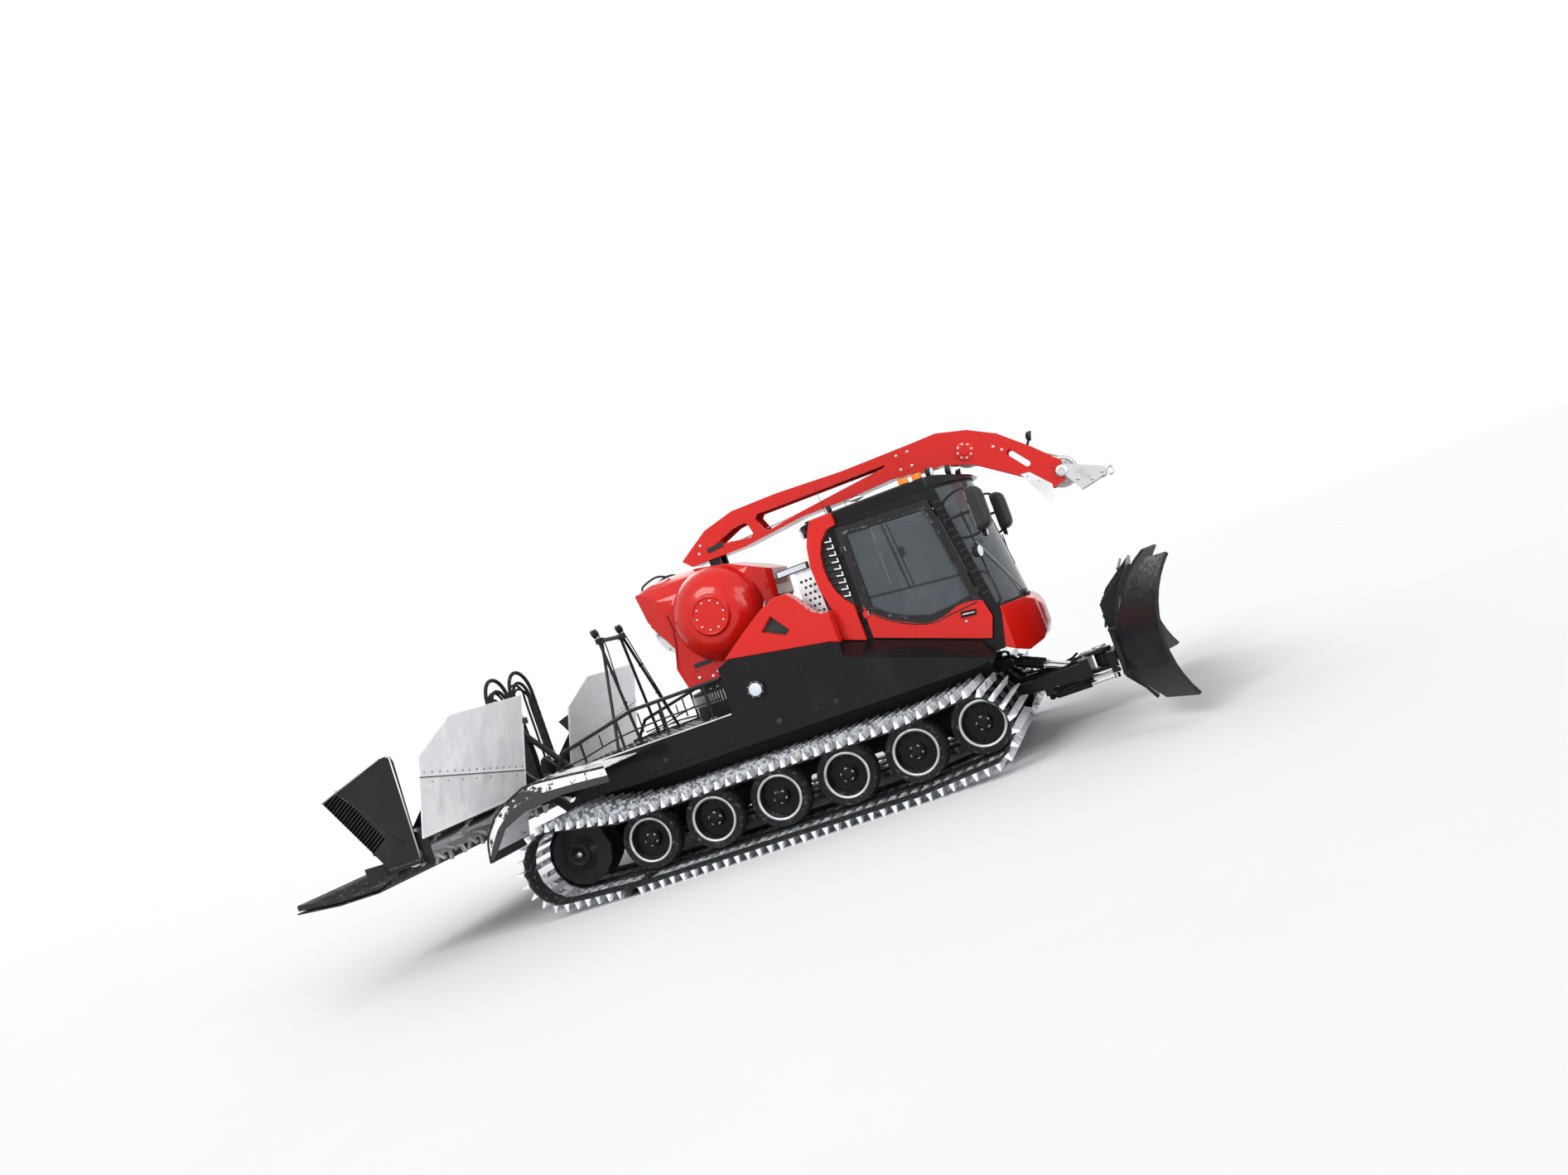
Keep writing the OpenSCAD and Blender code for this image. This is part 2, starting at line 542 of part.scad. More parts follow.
// The dome turned about Y: [radius, height over dome_y], out to its raised disc
dome = [[500, 0], [500, 155], [478, 230], [435, 300], [370, 365], [290, 410], [222, 425], [205, 445], [0, 445]];
function shrunk(p, w) = [for (v = p) [max(v[0] - w, 0), max(v[1] - w, 0)]];
function whole(p) = concat(p, [for (i = [len(p) - 1:-1:0]) [p[i][0], -p[i][1]]]);
module cover_form(w) {
  intersection() {
    slab(w - cover_half, 2 * (cover_half - w)) polygon(inset(cover_side, w));
    plate(1500, 1500) polygon(inset(whole(cover_plan), w));
    translate([900, 0, 0]) rotate([90, 0, 90]) linear_extrude(1700)
      polygon(inset(concat(cover_rear, [for (i = [len(cover_rear) - 1:-1:3]) [-cover_rear[i][0], cover_rear[i][1]]],
        [[-cover_half, 2480]]), w));
  }
  both_sides() translate([dome_x, dome_y, dome_z]) rotate([-90, 0, 0]) rotate_extrude($fn = 72)
    polygon(concat([[0, 0]], shrunk(dome, w)));
}
module winch_cover() color([0.75, 0.03, 0.03]) difference() {
  cover_form(0);
  cover_form(cover_wall);
  block(1240 + cover_wall, 1760 - cover_wall, cover_wall - cover_half, cover_half - cover_wall, 1600, 1720);
  cross_bar(drum_x, drum_z, drum_r + 20, -drum_half - 15, drum_half + 15);
  block(1810, 1970, -165, 165, 1560, 2950);
}
module winch_drum() color([0.55, 0.56, 0.57]) {
  cross_bar(drum_x, drum_z, drum_pin, -wall_y - wall_t - 5, wall_y + wall_t + 5);
  for (y = [-drum_half, drum_half - 25]) cross_bar(drum_x, drum_z, drum_r, y, y + 25);
  cross_bar(drum_x, drum_z, drum_r - 60, -drum_half, drum_half);
}

// Boom over the cab: two cheeks joined by webs, with a sheave at the bend and one at the tip
boom_top = [[5630, 2530], [5410, 2757], [5130, 3009], [4855, 3156], [4550, 3238], [4260, 3233], [3520, 3230],
  [2770, 3268], [2250, 3265], [1900, 3175], [1550, 2950]];
boom_low = [[1640, boom_foot], [2270, boom_foot], [2955, 2937], [3460, 2935], [3960, 2960], [4520, 2903], [4817, 2798],
  [5190, 2535], [5470, 2300], [5600, 2330]];
boom_hole = [[1960, 2990], [2200, 3085], [2330, 3100], [2375, 3070], [2400, 2960], [2360, 2930]];
boom_slot = [[2500, 3135], [2470, 3100], [2530, 2960], [2590, 2935], [2950, 2990], [3940, 3105], [3960, 3118], [3940, 3125]];
lock_slot = [[5180, 2790], [5310, 2620]];
bend_x = 4770;
bend_z = 2960;
tip_x = 5595;
tip_z = 2430;
sheave_pin = 30;
module boom() color([0.75, 0.03, 0.03]) {
  both_sides() slab(boom_half - cheek_t, cheek_t) difference() {
    polygon(concat(boom_top, boom_low));
    polygon(boom_hole);
    polygon(boom_slot);
    for (p = lock_slot) translate(p) circle(30);
    polygon(bar_side(lock_slot[0], lock_slot[1], 30));
    translate([bend_x, bend_z]) circle(sheave_pin + pin_fit);
    translate([tip_x, tip_z]) circle(sheave_pin + pin_fit);
  }
  slab(cheek_t - boom_half - 1, 2 * (boom_half - cheek_t) + 2) {
    polygon(band([for (i = [3:9]) boom_top[i]], cheek_t));
    polygon(band([for (i = [0:5]) boom_low[i]], cheek_t));
    polygon(band([[2440, 2930], [2430, 3130]], cheek_t));
  }
}
module sheave(x, z, shaft_half) color([0.8, 0.8, 0.8]) {
  cross_bar(x, z, sheave_pin, -shaft_half, shaft_half);
  translate([x, -sheave_w / 2, z]) rotate([-90, 0, 0]) rotate_extrude($fn = 64) polygon([
    [0, 0], [sheave_r, 0], [sheave_r, 8], [sheave_r - 26, sheave_w / 2], [sheave_r, sheave_w - 8],
    [sheave_r, sheave_w], [0, sheave_w]]);
}
module bend_sheave() sheave(bend_x, bend_z, boom_half - 2);
module tip_sheave() sheave(tip_x, tip_z, boom_half + 22);
head_y = boom_half + 6;
head_t = 14;
head_side = [[5550, 2400], [5620, 2370], [5720, 2190], [5990, 2250], [6010, 2320], [5640, 2490], [5560, 2480]];
module rope_head() color([0.7, 0.7, 0.7]) {
  both_sides() slab(head_y, head_t) difference() {
    polygon(head_side);
    translate([tip_x, tip_z]) circle(sheave_pin + pin_fit);
  }
  for (p = [[5960, 2285], [5850, 2250]]) cross_bar(p[0], p[1], 22, -head_y - 1, head_y + 1);
}

// A hydraulic cylinder lies along +X of its own place, from its barrel's pin to its rod's eye
eye_w = 44;
module eye(r) rotate([-90, 0, 0]) translate([0, 0, -eye_w / 2]) cylinder(r = 1.9 * r, h = eye_w);
module eye_hole(r) rotate([-90, 0, 0]) translate([0, 0, -eye_w]) cylinder(r = r + pin_fit, h = 2 * eye_w);
// size: [barrel radius, rod radius, barrel length, bore depth, rod length, pin radius]
module barrel(size) difference() {
  union() {
    translate([2.8 * size[5], 0, 0]) rotate([0, 90, 0]) cylinder(r = size[0], h = size[2] - 2.8 * size[5]);
    rotate([0, 90, 0]) cylinder(r = eye_w / 2, h = 3 * size[5]);
    eye(size[5]);
  }
  translate([size[2] - size[3], 0, 0]) rotate([0, 90, 0]) cylinder(r = size[1] + gap, h = size[3] + 1);
  eye_hole(size[5]);
}
module rod(size, reach) translate([reach, 0, 0]) difference() {
  union() {
    translate([-size[4], 0, 0]) rotate([0, 90, 0]) cylinder(r = size[1], h = size[4] - size[5]);
    eye(size[5]);
  }
  eye_hole(size[5]);
}
// Places a cylinder upright from p to q, both [x, z]
module aimed(p, q, y) translate([p[0], y, p[1]]) rotate([0, -atan2(q[1] - p[1], q[0] - p[0]), 0]) children();

// Front blade: push frame, upright pin, carrier, blade and wings
push_x = 4400;
push_z = 520;
push_y = 400;
push_pin = 35;
push_ear = [[4200, 450], [push_x + 40, 460], [push_x + 65, 520], [push_x + 40, 590], [4300, 800], [4200, 800]];
lift_y = 180;
lift_pin = 20;
lift_p = [4470, 800];
lift_q = [5030, 560];
lift_size = [40, 22, 330, 270, 380, lift_pin];
lift_ear = [[4310, 740], [lift_p[0] + 10, lift_p[1] - 42], [lift_p[0] + 42, lift_p[1]], [lift_p[0] + 10, lift_p[1] + 42],
  [4310, 880]];
beam_x = 5110;
beam_w = 100;
beam_z0 = 430;
beam_z1 = 615;
yoke_x = 5330;
yoke_r = 110;
yoke_pin = 45;
yoke_t = 35;
angle_z = 355;
angle_p = [4760, 290];
angle_q = [5420, 270];
angle_size = [35, 20, 400, 340, 440, 16];
module yoke_plate(z) plate(z, yoke_t) difference() {
  union() {
    translate([beam_x + 1, -yoke_r]) square([yoke_x - beam_x - 1, 2 * yoke_r]);
    translate([yoke_x, 0]) circle(yoke_r);
  }
  translate([yoke_x, 0]) circle(yoke_pin + pin_fit);
}
module push_frame() color([0.12, 0.12, 0.12]) {
  both_sides() {
    difference() {
      union() {
        cross_bar(push_x, push_z, 62, push_y - 60, push_y + 60);
        slab(push_y - 40, 80) polygon([[push_x, push_z - 55], [beam_x + 1, 440], [beam_x + 1, 590], [push_x, push_z + 55]]);
      }
      cross_bar(push_x, push_z, push_pin + pin_fit, push_y - 70, push_y + 70);
    }
    for (s = [-1, 1]) slab(lift_y + s * 40 - 8, 16) polygon([[beam_x + 1, 500], [5030, 510], [4990, 560], [5030, 605],
      [beam_x + 1, 612]]);
    // Bracket and pin of the angle cylinder
    block(4720, 4800, push_y - 35, push_y + 35, angle_z + 31, 480);
    block(4720, 4800, angle_p[1] - 35, push_y + 35, angle_z + 30, angle_z + 50);
    upright_bar(angle_p[0], angle_p[1], angle_size[5], angle_z - 30, angle_z + 40);
  }
  block(beam_x, beam_x + beam_w, -push_y - 40, push_y + 40, beam_z0, beam_z1);
  yoke_plate(beam_z0 - 10);
  yoke_plate(beam_z1 - 15);
}
module lift_barrels() color([0.15, 0.15, 0.15]) both_sides() aimed(lift_p, lift_q, lift_y) barrel(lift_size);
module lift_rods() color([0.85, 0.85, 0.86]) both_sides() aimed(lift_p, lift_q, lift_y) rod(lift_size, norm(lift_q - lift_p));
module angle_place(side) on_side(side) translate([angle_p[0], angle_p[1], angle_z])
  rotate([0, 0, atan2(angle_q[1] - angle_p[1], angle_q[0] - angle_p[0])]) rotate([90, 0, 0]) children();
module angle_barrel_left() color([0.15, 0.15, 0.15]) angle_place(1) barrel(angle_size);
module angle_barrel_right() color([0.15, 0.15, 0.15]) angle_place(-1) barrel(angle_size);
module angle_rod_left() color([0.85, 0.85, 0.86]) angle_place(1) rod(angle_size, norm(angle_q - angle_p));
module angle_rod_right() color([0.85, 0.85, 0.86]) angle_place(-1) rod(angle_size, norm(angle_q - angle_p));

tilt_z = 530;
tilt_pin = 50;
carrier_x = 5390;
carrier_t = 80;
module blade_carrier() color([0.12, 0.12, 0.12]) difference() {
  union() {
    upright_bar(yoke_x, 0, 75, beam_z0 + yoke_t, beam_z1 - 20);
    upright_bar(yoke_x, 0, yoke_pin, beam_z0 - 8, beam_z1 + yoke_t - 18);
    block(yoke_x, carrier_x + carrier_t, -70, 70, beam_z0 + yoke_t, beam_z1 - 20);
    block(carrier_x, carrier_x + carrier_t, -300, 300, beam_z0 + yoke_t, beam_z1 - 20);
    both_sides() block(carrier_x, carrier_x + 60, angle_q[1] - 35, angle_q[1] + 35, angle_z + 32, beam_z0 + yoke_t + 1);
  }
  translate([carrier_x + 10, 0, tilt_z]) rotate([0, 90, 0]) cylinder(r = tilt_pin + pin_fit, h = carrier_t);
}
blade_x = 5620;
blade_mid = blade_z + 0.42 * blade_h;
blade_back = blade_x - 80;
function blade_arc(r) = arc(blade_x + blade_r, blade_mid, r, 180 + asin(0.42 * blade_h / blade_r),
  180 - asin(0.58 * blade_h / blade_r), 12);
blade_ribs = [-1500, -1000, -500, 500, 1000, 1500];
wing_x = blade_x - 48;
wing_y = blade_w / 2 + 18;
wing_pin = 16;
knuckle_r = 30;
wing_zs = [520, 880];
// How far a wing swings forward from its set, which its inner edge leaves room for
wing_swing = 25;
module blade_plate(y0, w) slab(y0, w) polygon(concat(blade_arc(blade_r), backwards(blade_arc(blade_r + blade_t))));
module blade() color([0.12, 0.12, 0.12]) {
  difference() {
    blade_plate(-blade_w / 2, blade_w);
    both_sides() upright_bar(wing_x, wing_y, knuckle_r + 5, wing_zs[0] + gap, wing_zs[1] - gap);
  }
  for (y = blade_ribs) slab(y - 12, 24) polygon(concat(blade_arc(blade_r + blade_t - 2), [[blade_back, blade_mid + 420],
    [blade_back, blade_mid - 260]]));
  block(blade_back - 30, blade_x - blade_t + 2, -300, 300, 430, 800);
  block(blade_back, blade_x - blade_t + 2, 30 - blade_w / 2, blade_w / 2 - 30, 640, 760);
  translate([carrier_x + 12, 0, tilt_z]) rotate([0, 90, 0]) cylinder(r = tilt_pin, h = blade_back - 28 - carrier_x - 12);
  both_sides() {
    for (z = [wing_zs[0] - 30, wing_zs[1]]) block(wing_x - 32, blade_x - 2, blade_w / 2 - 60, wing_y + 30, z, z + 30);
    upright_bar(wing_x, wing_y, wing_pin, wing_zs[0] - 10, wing_zs[1] + 10);
  }
}
module blade_wing(side) color([0.12, 0.12, 0.12]) on_side(side) difference() {
  union() {
    difference() {
      translate([wing_x, wing_y, 0]) rotate([0, 0, -wing_set]) translate([-wing_x, 0, 0]) blade_plate(-200, wing_len + 200);
      translate([wing_x, wing_y, 0]) rotate([0, 0, wing_swing]) block(-700, 900, -900, -8, 0, 2000);
    }
    upright_bar(wing_x, wing_y, knuckle_r, wing_zs[0] + 5, wing_zs[1] - 5);
  }
  upright_bar(wing_x, wing_y, wing_pin + pin_fit, wing_zs[0] - 20, wing_zs[1] + 20);
  block(wing_x - 50, blade_x + 15, wing_y - 60, wing_y + 45, wing_zs[0] - 45, wing_zs[0] + 5);
  block(wing_x - 50, blade_x + 15, wing_y - 60, wing_y + 45, wing_zs[1] - 5, wing_zs[1] + 45);
}
module blade_wing_left() blade_wing(1);
module blade_wing_right() blade_wing(-1);

// Tiller linkage: lower arms and top link stay parallel, lift cylinders hold the arms
arm_p = [-494, 781];
arm_q = [-994, 1421];
arm_r = 44;
arm_y = 330;
arm_pin = 30;
link_p = [-480, 1180];
link_q = link_p + arm_q - arm_p;
link_pin = 25;
tiller_lift_p = [-150, 1190];
tiller_lift_q = (arm_p + arm_q) / 2;
tiller_lift_y = 250;
tiller_lift_size = [45, 26, 430, 355, 520, 22];
bracket_t = 25;
bracket_side = [[tub_rear, 620], [arm_p[0] - 50, arm_p[1] - 60], [arm_p[0] - 70, arm_p[1]], [arm_p[0] - 50, arm_p[1] + 60],
  [-420, 960], [tub_rear - 20, deck_z - 50], [-90, deck_z - 50], [-90, lookup(-90, tub_back)], tub_back[0]];
wall_rear = [[tub_rear - 20, 1000], [tub_rear, 1000], [tub_rear, deck_z - 50], [tub_rear - 20, deck_z - 50]];
link_ear = [[tub_rear - 19, 1090], [link_p[0] - 20, link_p[1] - 42], [link_p[0] - 45, link_p[1]], [link_p[0] - 20, link_p[1] + 42],
  [tub_rear - 19, 1234]];
module rear_bracket() color([0.13, 0.13, 0.14]) {
  both_sides() {
    slab(arm_y + 45, bracket_t) difference() {
      polygon(bracket_side);
      translate(arm_p) circle(arm_pin + pin_fit);
    }
    for (s = [-1, 1]) slab(tiller_lift_y + s * 60 - 8, 16) polygon([[-200, lookup(-200, tub_back)],
      [-100, lookup(-100, tub_back)], [-100, 1205], [-150, 1232], [-200, 1205]]);
    cross_bar(tiller_lift_p[0], tiller_lift_p[1], tiller_lift_size[5], tiller_lift_y - 69, tiller_lift_y + 69);
    slab(46, 16) polygon(link_ear);
  }
  difference() {
    slab(-arm_y - 46, 2 * arm_y + 92) polygon(wall_rear);
    both_sides() block(-400, -300, tiller_lift_y - 75, tiller_lift_y + 75, 990, 1250);
  }
  cross_bar(link_p[0], link_p[1], link_pin, -60, 60);
}
function bar_side(p, q, r) = let (n = r * turned(q - p)) [p - n, q - n, q + n, p + n];
module tiller_arms() color([0.12, 0.12, 0.12]) {
  both_sides() {
    slab(arm_y - 30, 60) {
      polygon(bar_side(arm_p, arm_q, arm_r));
      translate(arm_p) circle(arm_r);
      translate(arm_q) circle(arm_r);
    }
    cross_bar(arm_p[0], arm_p[1], arm_pin, arm_y, arm_y + 45 + bracket_t);
    cross_bar(arm_q[0], arm_q[1], arm_pin, arm_y, arm_y + 75);
    cross_bar(tiller_lift_q[0], tiller_lift_q[1], 24, tiller_lift_y + tiller_lift_size[1] + 1, arm_y);
  }
  cross_bar(arm_p[0] * 0.85 + arm_q[0] * 0.15, arm_p[1] * 0.85 + arm_q[1] * 0.15, 38, -arm_y, arm_y);
}
module tiller_barrels() color([0.15, 0.15, 0.15]) both_sides()
  aimed(tiller_lift_p, tiller_lift_q, tiller_lift_y) barrel(tiller_lift_size);
module tiller_rods() color([0.85, 0.85, 0.86]) both_sides()
  aimed(tiller_lift_p, tiller_lift_q, tiller_lift_y) rod(tiller_lift_size, norm(tiller_lift_q - tiller_lift_p));
module tiller_link() color([0.15, 0.15, 0.15]) aimed(link_p, link_q, 0) difference() {
  union() {
    translate([40, 0, 0]) rotate([0, 90, 0]) cylinder(r = 32, h = norm(link_q - link_p) - 80);
    for (x = [0, norm(link_q - link_p)]) translate([x, 0, 0]) eye(link_pin);
  }
  eye_hole(link_pin);
  translate([norm(link_q - link_p), 0, 0]) eye_hole(link_pin + 0.5);
}

// Tiller: hood over two rotors, masts for the linkage, covers and finisher
rotor_x = -1080;
rotor_z = 1060;
journal_r = 35;
beam = [[-1480, 1180], [-1320, 1180], [-1320, 1300], [-1480, 1300]];
skid_side = concat(arc(rotor_x, rotor_z, hood_r + sheet_t, 30, 175, 10), [[-1620, 1090], [-1620, 970], [-880, 970]]);
cover_lean = 18;
cover_foot = [-868, 1196];
cover_up = [sin(cover_lean), cos(cover_lean)];
cover_w = 2150;
cover_h = 1060;
cover_bevel = [600, 300];
cover_in = 600;
function on_cover(v) = cover_foot + v * cover_up - gap * [cos(cover_lean), -sin(cover_lean)];
mast_side = [[-1140, 1285], [-940, 1255], [-925, 1500], [-935, 1905], [-1025, 1905], [-1060, 1500]];
hitch_side = [[-1120, 1285], [-950, 1270], [-935, 1420], [-960, 1470], [-1020, 1480], [-1070, 1430]];
manifold_z = 1905;
// Hose loops: [manifold y, port y, top z, radius]
hose_loops = [[40, 560, 2240, 21], [95, 470, 2190, 19], [-45, -540, 2230, 21], [-100, -450, 2170, 19]];
hose_x = -975;
port_z = 1400;
wing_hinge_y = tiller_half + 30;
wing_hinge_z = 1000;
wing_hinge_r = 12;
wing_hinge_x = [-1350, -985];
module tiller_frame() color([0.12, 0.12, 0.12]) {
  slab(-tiller_half, 2 * tiller_half) polygon(concat(arc(rotor_x, rotor_z, hood_r, 30, 205, 12),
    backwards(arc(rotor_x, rotor_z, hood_r + sheet_t, 30, 205, 12))));
  slab(-tiller_half, 2 * tiller_half) polygon(beam);
  for (y = [-tiller_half, -900, 900 - sheet_t, tiller_half - sheet_t]) slab(y, sheet_t)
    polygon([[-1300, 1130], [-1200, 1265], [-1330, 1298], [-1330, 1182]]);
  slab(-25, 50) difference() {
    polygon(skid_side);
    translate([rotor_x, rotor_z]) circle(journal_r + pin_fit);
  }
  both_sides() {
    slab(tiller_half - sheet_t, sheet_t) difference() {
      polygon(skid_side);
      translate([rotor_x, rotor_z]) circle(journal_r + pin_fit);
    }
    slab(50, 24) difference() {
      polygon(mast_side);
      translate(link_q) circle(link_pin + 0.2);
    }
    slab(arm_y + 40, 24) difference() {
      polygon(hitch_side);
      translate(arm_q) circle(arm_pin + pin_fit);
    }
    for (y = [cover_in + 150, cover_in + 1050, tiller_half - 250]) slab(y, sheet_t)
      polygon([[-1180, 1270], [-1060, 1290], on_cover(60), on_cover(560)]);
    // Lugs and pin of the side wing
    for (x = [wing_hinge_x[0] - 35, wing_hinge_x[1] + 10])
      block(x, x + 25, tiller_half - 1, wing_hinge_y + 22, wing_hinge_z - 24, wing_hinge_z + 24);
    translate([wing_hinge_x[0] - 30, wing_hinge_y, wing_hinge_z]) rotate([0, 90, 0])
      cylinder(r = wing_hinge_r, h = wing_hinge_x[1] - wing_hinge_x[0] + 60);
  }
  cross_bar(link_q[0], link_q[1], link_pin, -73, 73);
  block(hose_x - 45, hose_x + 45, -140, 140, manifold_z - 1, manifold_z + 70);
  for (h = hose_loops) block(hose_x - 35, hose_x + 35, h[1] - 35, h[1] + 35, 1270, port_z);
}
module tiller_covers() color([0.9, 0.92, 0.95]) for (y = [-cover_in - cover_w, cover_in])
  translate([cover_foot[0], y, cover_foot[1]]) rotate([0, cover_lean, 0]) rotate([90, 0, 90]) linear_extrude(sheet_t)
    polygon([[0, 0], [cover_w, 0], [cover_w, cover_h], [cover_bevel[0], cover_h], [0, cover_h - cover_bevel[1]]]);
tooth_w = 26;
teeth_round = 4;
module rotor(side) color([0.4, 0.4, 0.42]) on_side(side) {
  cross_bar(rotor_x, rotor_z, rotor_r, 32, tiller_half - 20);
  cross_bar(rotor_x, rotor_z, journal_r, 4, tiller_half - 2);
  for (k = [0:floor((tiller_half - 160) / tooth_step) - 1]) for (a = [0:360 / teeth_round:359])
    translate([rotor_x, 90 + k * tooth_step, rotor_z]) rotate([0, a + k * 22.5, 0])
      translate([-tooth_w / 2, 0, rotor_r - 12]) cube([tooth_w, 40, tooth_r - rotor_r + 12]);
}
module rotor_left() rotor(1);
module rotor_right() rotor(-1);
finisher_t = 14;
hood_end = 205;
finisher_line = [[rotor_x + (hood_r + sheet_t) * cos(hood_end) + gap * sin(-hood_end), rotor_z + (hood_r + sheet_t) * sin(hood_end) + gap * cos(hood_end)],
  [-1400, 890], [-1560, 848], [-2000, 852], [-2480, 900]];
module finisher() color([0.08, 0.08, 0.08]) slab(-tiller_half + sheet_t + gap, 2 * (tiller_half - sheet_t - gap))
  polygon(band(finisher_line, finisher_t));
side_wing_side = [[-985, 1005], [-985, 1030], [-940, 1950], [-955, 2005], [-1000, 2032], [-1060, 2030], [-1800, 1815],
  [-1440, 1190], [-1350, 1030], [-1350, 1005]];
module side_wing(side) color([0.1, 0.1, 0.1]) on_side(side) difference() {
  union() {
    slab(wing_hinge_y - 10, 20) polygon(side_wing_side);
    translate([wing_hinge_x[0], wing_hinge_y, wing_hinge_z]) rotate([0, 90, 0])
      cylinder(r = 2 * wing_hinge_r - 2, h = wing_hinge_x[1] - wing_hinge_x[0]);
  }
  translate([wing_hinge_x[0] - 1, wing_hinge_y, wing_hinge_z]) rotate([0, 90, 0])
    cylinder(r = wing_hinge_r + pin_fit, h = wing_hinge_x[1] - wing_hinge_x[0] + 2);
}
module side_wing_left() side_wing(1);
module side_wing_right() side_wing(-1);
module hoses() color([0.05, 0.05, 0.05]) for (h = hose_loops) {
  bend_r = abs(h[1] - h[0]) / 2;
  upright_bar(hose_x, h[0], h[3], manifold_z + 70 + gap, h[2]);
  upright_bar(hose_x, h[1], h[3], port_z + gap, h[2]);
  translate([hose_x, (h[0] + h[1]) / 2, h[2]]) rotate([90, 0, 90]) rotate_extrude(angle = 180) translate([bend_r, 0]) circle(h[3]);
}

module seated() translate([-x_mid, 0, 0]) children();
seated() chassis_hull();
seated() engine_block();
seated() track_left();
seated() track_right();
seated() tyres();
seated() rims();
seated() sprockets();
seated() fenders();
seated() side_bodies();
seated() rear_deck();
seated() rear_bracket();
seated() deck_rails();
seated() fairings();
seated() cab_pillars();
seated() louvres();
seated() cab_shell();
seated() cab_roof();
seated() nose();
seated() cab_glass();
seated() cab_console();
seated() seats();
seated() mirrors();
seated() lamps();
seated() door_left();
seated() door_left_glass();
seated() door_right();
seated() door_right_glass();
seated() winch_base();
seated() winch_frame();
seated() winch_cover();
seated() winch_drum();
seated() boom();
seated() bend_sheave();
seated() tip_sheave();
seated() rope_head();
seated() push_frame();
seated() lift_barrels();
seated() lift_rods();
seated() blade_carrier();
seated() angle_barrel_left();
seated() angle_barrel_right();
seated() angle_rod_left();
seated() angle_rod_right();
seated() blade();
seated() blade_wing_left();
seated() blade_wing_right();
seated() tiller_arms();
seated() tiller_barrels();
seated() tiller_rods();
seated() tiller_link();
seated() tiller_frame();
seated() tiller_covers();
seated() rotor_left();
seated() rotor_right();
seated() finisher();
seated() side_wing_left();
seated() side_wing_right();
seated() hoses();
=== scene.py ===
"""Looks of the snow groomer: materials, small parts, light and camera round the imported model.

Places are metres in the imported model's frame: +X front, +Y left, +Z up. at() counts x from the sprocket axle.
"""

import math

import bmesh
import bpy
from mathutils import Matrix, Vector


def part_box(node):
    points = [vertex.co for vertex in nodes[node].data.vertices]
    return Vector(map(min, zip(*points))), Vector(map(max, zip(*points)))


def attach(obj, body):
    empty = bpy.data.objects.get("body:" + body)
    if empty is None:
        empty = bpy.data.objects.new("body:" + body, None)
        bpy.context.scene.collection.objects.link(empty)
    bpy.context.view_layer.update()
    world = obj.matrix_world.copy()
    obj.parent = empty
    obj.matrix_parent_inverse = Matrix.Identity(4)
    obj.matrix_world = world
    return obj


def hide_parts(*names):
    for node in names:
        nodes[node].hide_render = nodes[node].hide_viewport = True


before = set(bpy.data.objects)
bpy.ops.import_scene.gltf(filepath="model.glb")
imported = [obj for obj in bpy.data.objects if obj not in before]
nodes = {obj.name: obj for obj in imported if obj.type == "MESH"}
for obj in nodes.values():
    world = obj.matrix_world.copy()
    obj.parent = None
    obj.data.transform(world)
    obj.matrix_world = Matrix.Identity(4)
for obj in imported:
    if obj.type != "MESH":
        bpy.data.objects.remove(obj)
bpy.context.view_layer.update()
sprocket_low, sprocket_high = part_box("sprockets")
AXLE_X = (sprocket_low.x + sprocket_high.x) / 2


def at(x, y, z):
    """A place counted from the sprocket axle."""
    return Vector((x + AXLE_X, y, z))


def span(node):
    """A node's lowest and highest corner, counted from the sprocket axle."""
    low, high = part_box(node)
    shift = Vector((AXLE_X, 0, 0))
    return low - shift, high - shift


# Materials

RED = (0.60, 0.009, 0.005)
GLOSS_BLACK = (0.008, 0.008, 0.009)
STEEL_BLACK = (0.016, 0.016, 0.018)
SNOW = (0.86, 0.89, 0.93)
CHEEK_BLACK = (0.018, 0.018, 0.02)
# Where the white of the rear guards ends on their outer cheek, as (x, z) from the sprocket axle
CHEEK_LINE = [
    (-0.66, 0.735), (-0.56, 0.90), (-0.40, 1.06), (-0.15, 1.175), (0.0, 1.195),
    (0.3, 1.19), (0.79, 1.155),
]
# Where the doors' red panel ends below the window
DOOR_EDGE = [
    (3.392, 1.85), (3.54, 1.68), (3.76, 1.545), (3.99, 1.465), (4.16, 1.49),
    (4.28, 1.53), (4.57, 1.485),
]


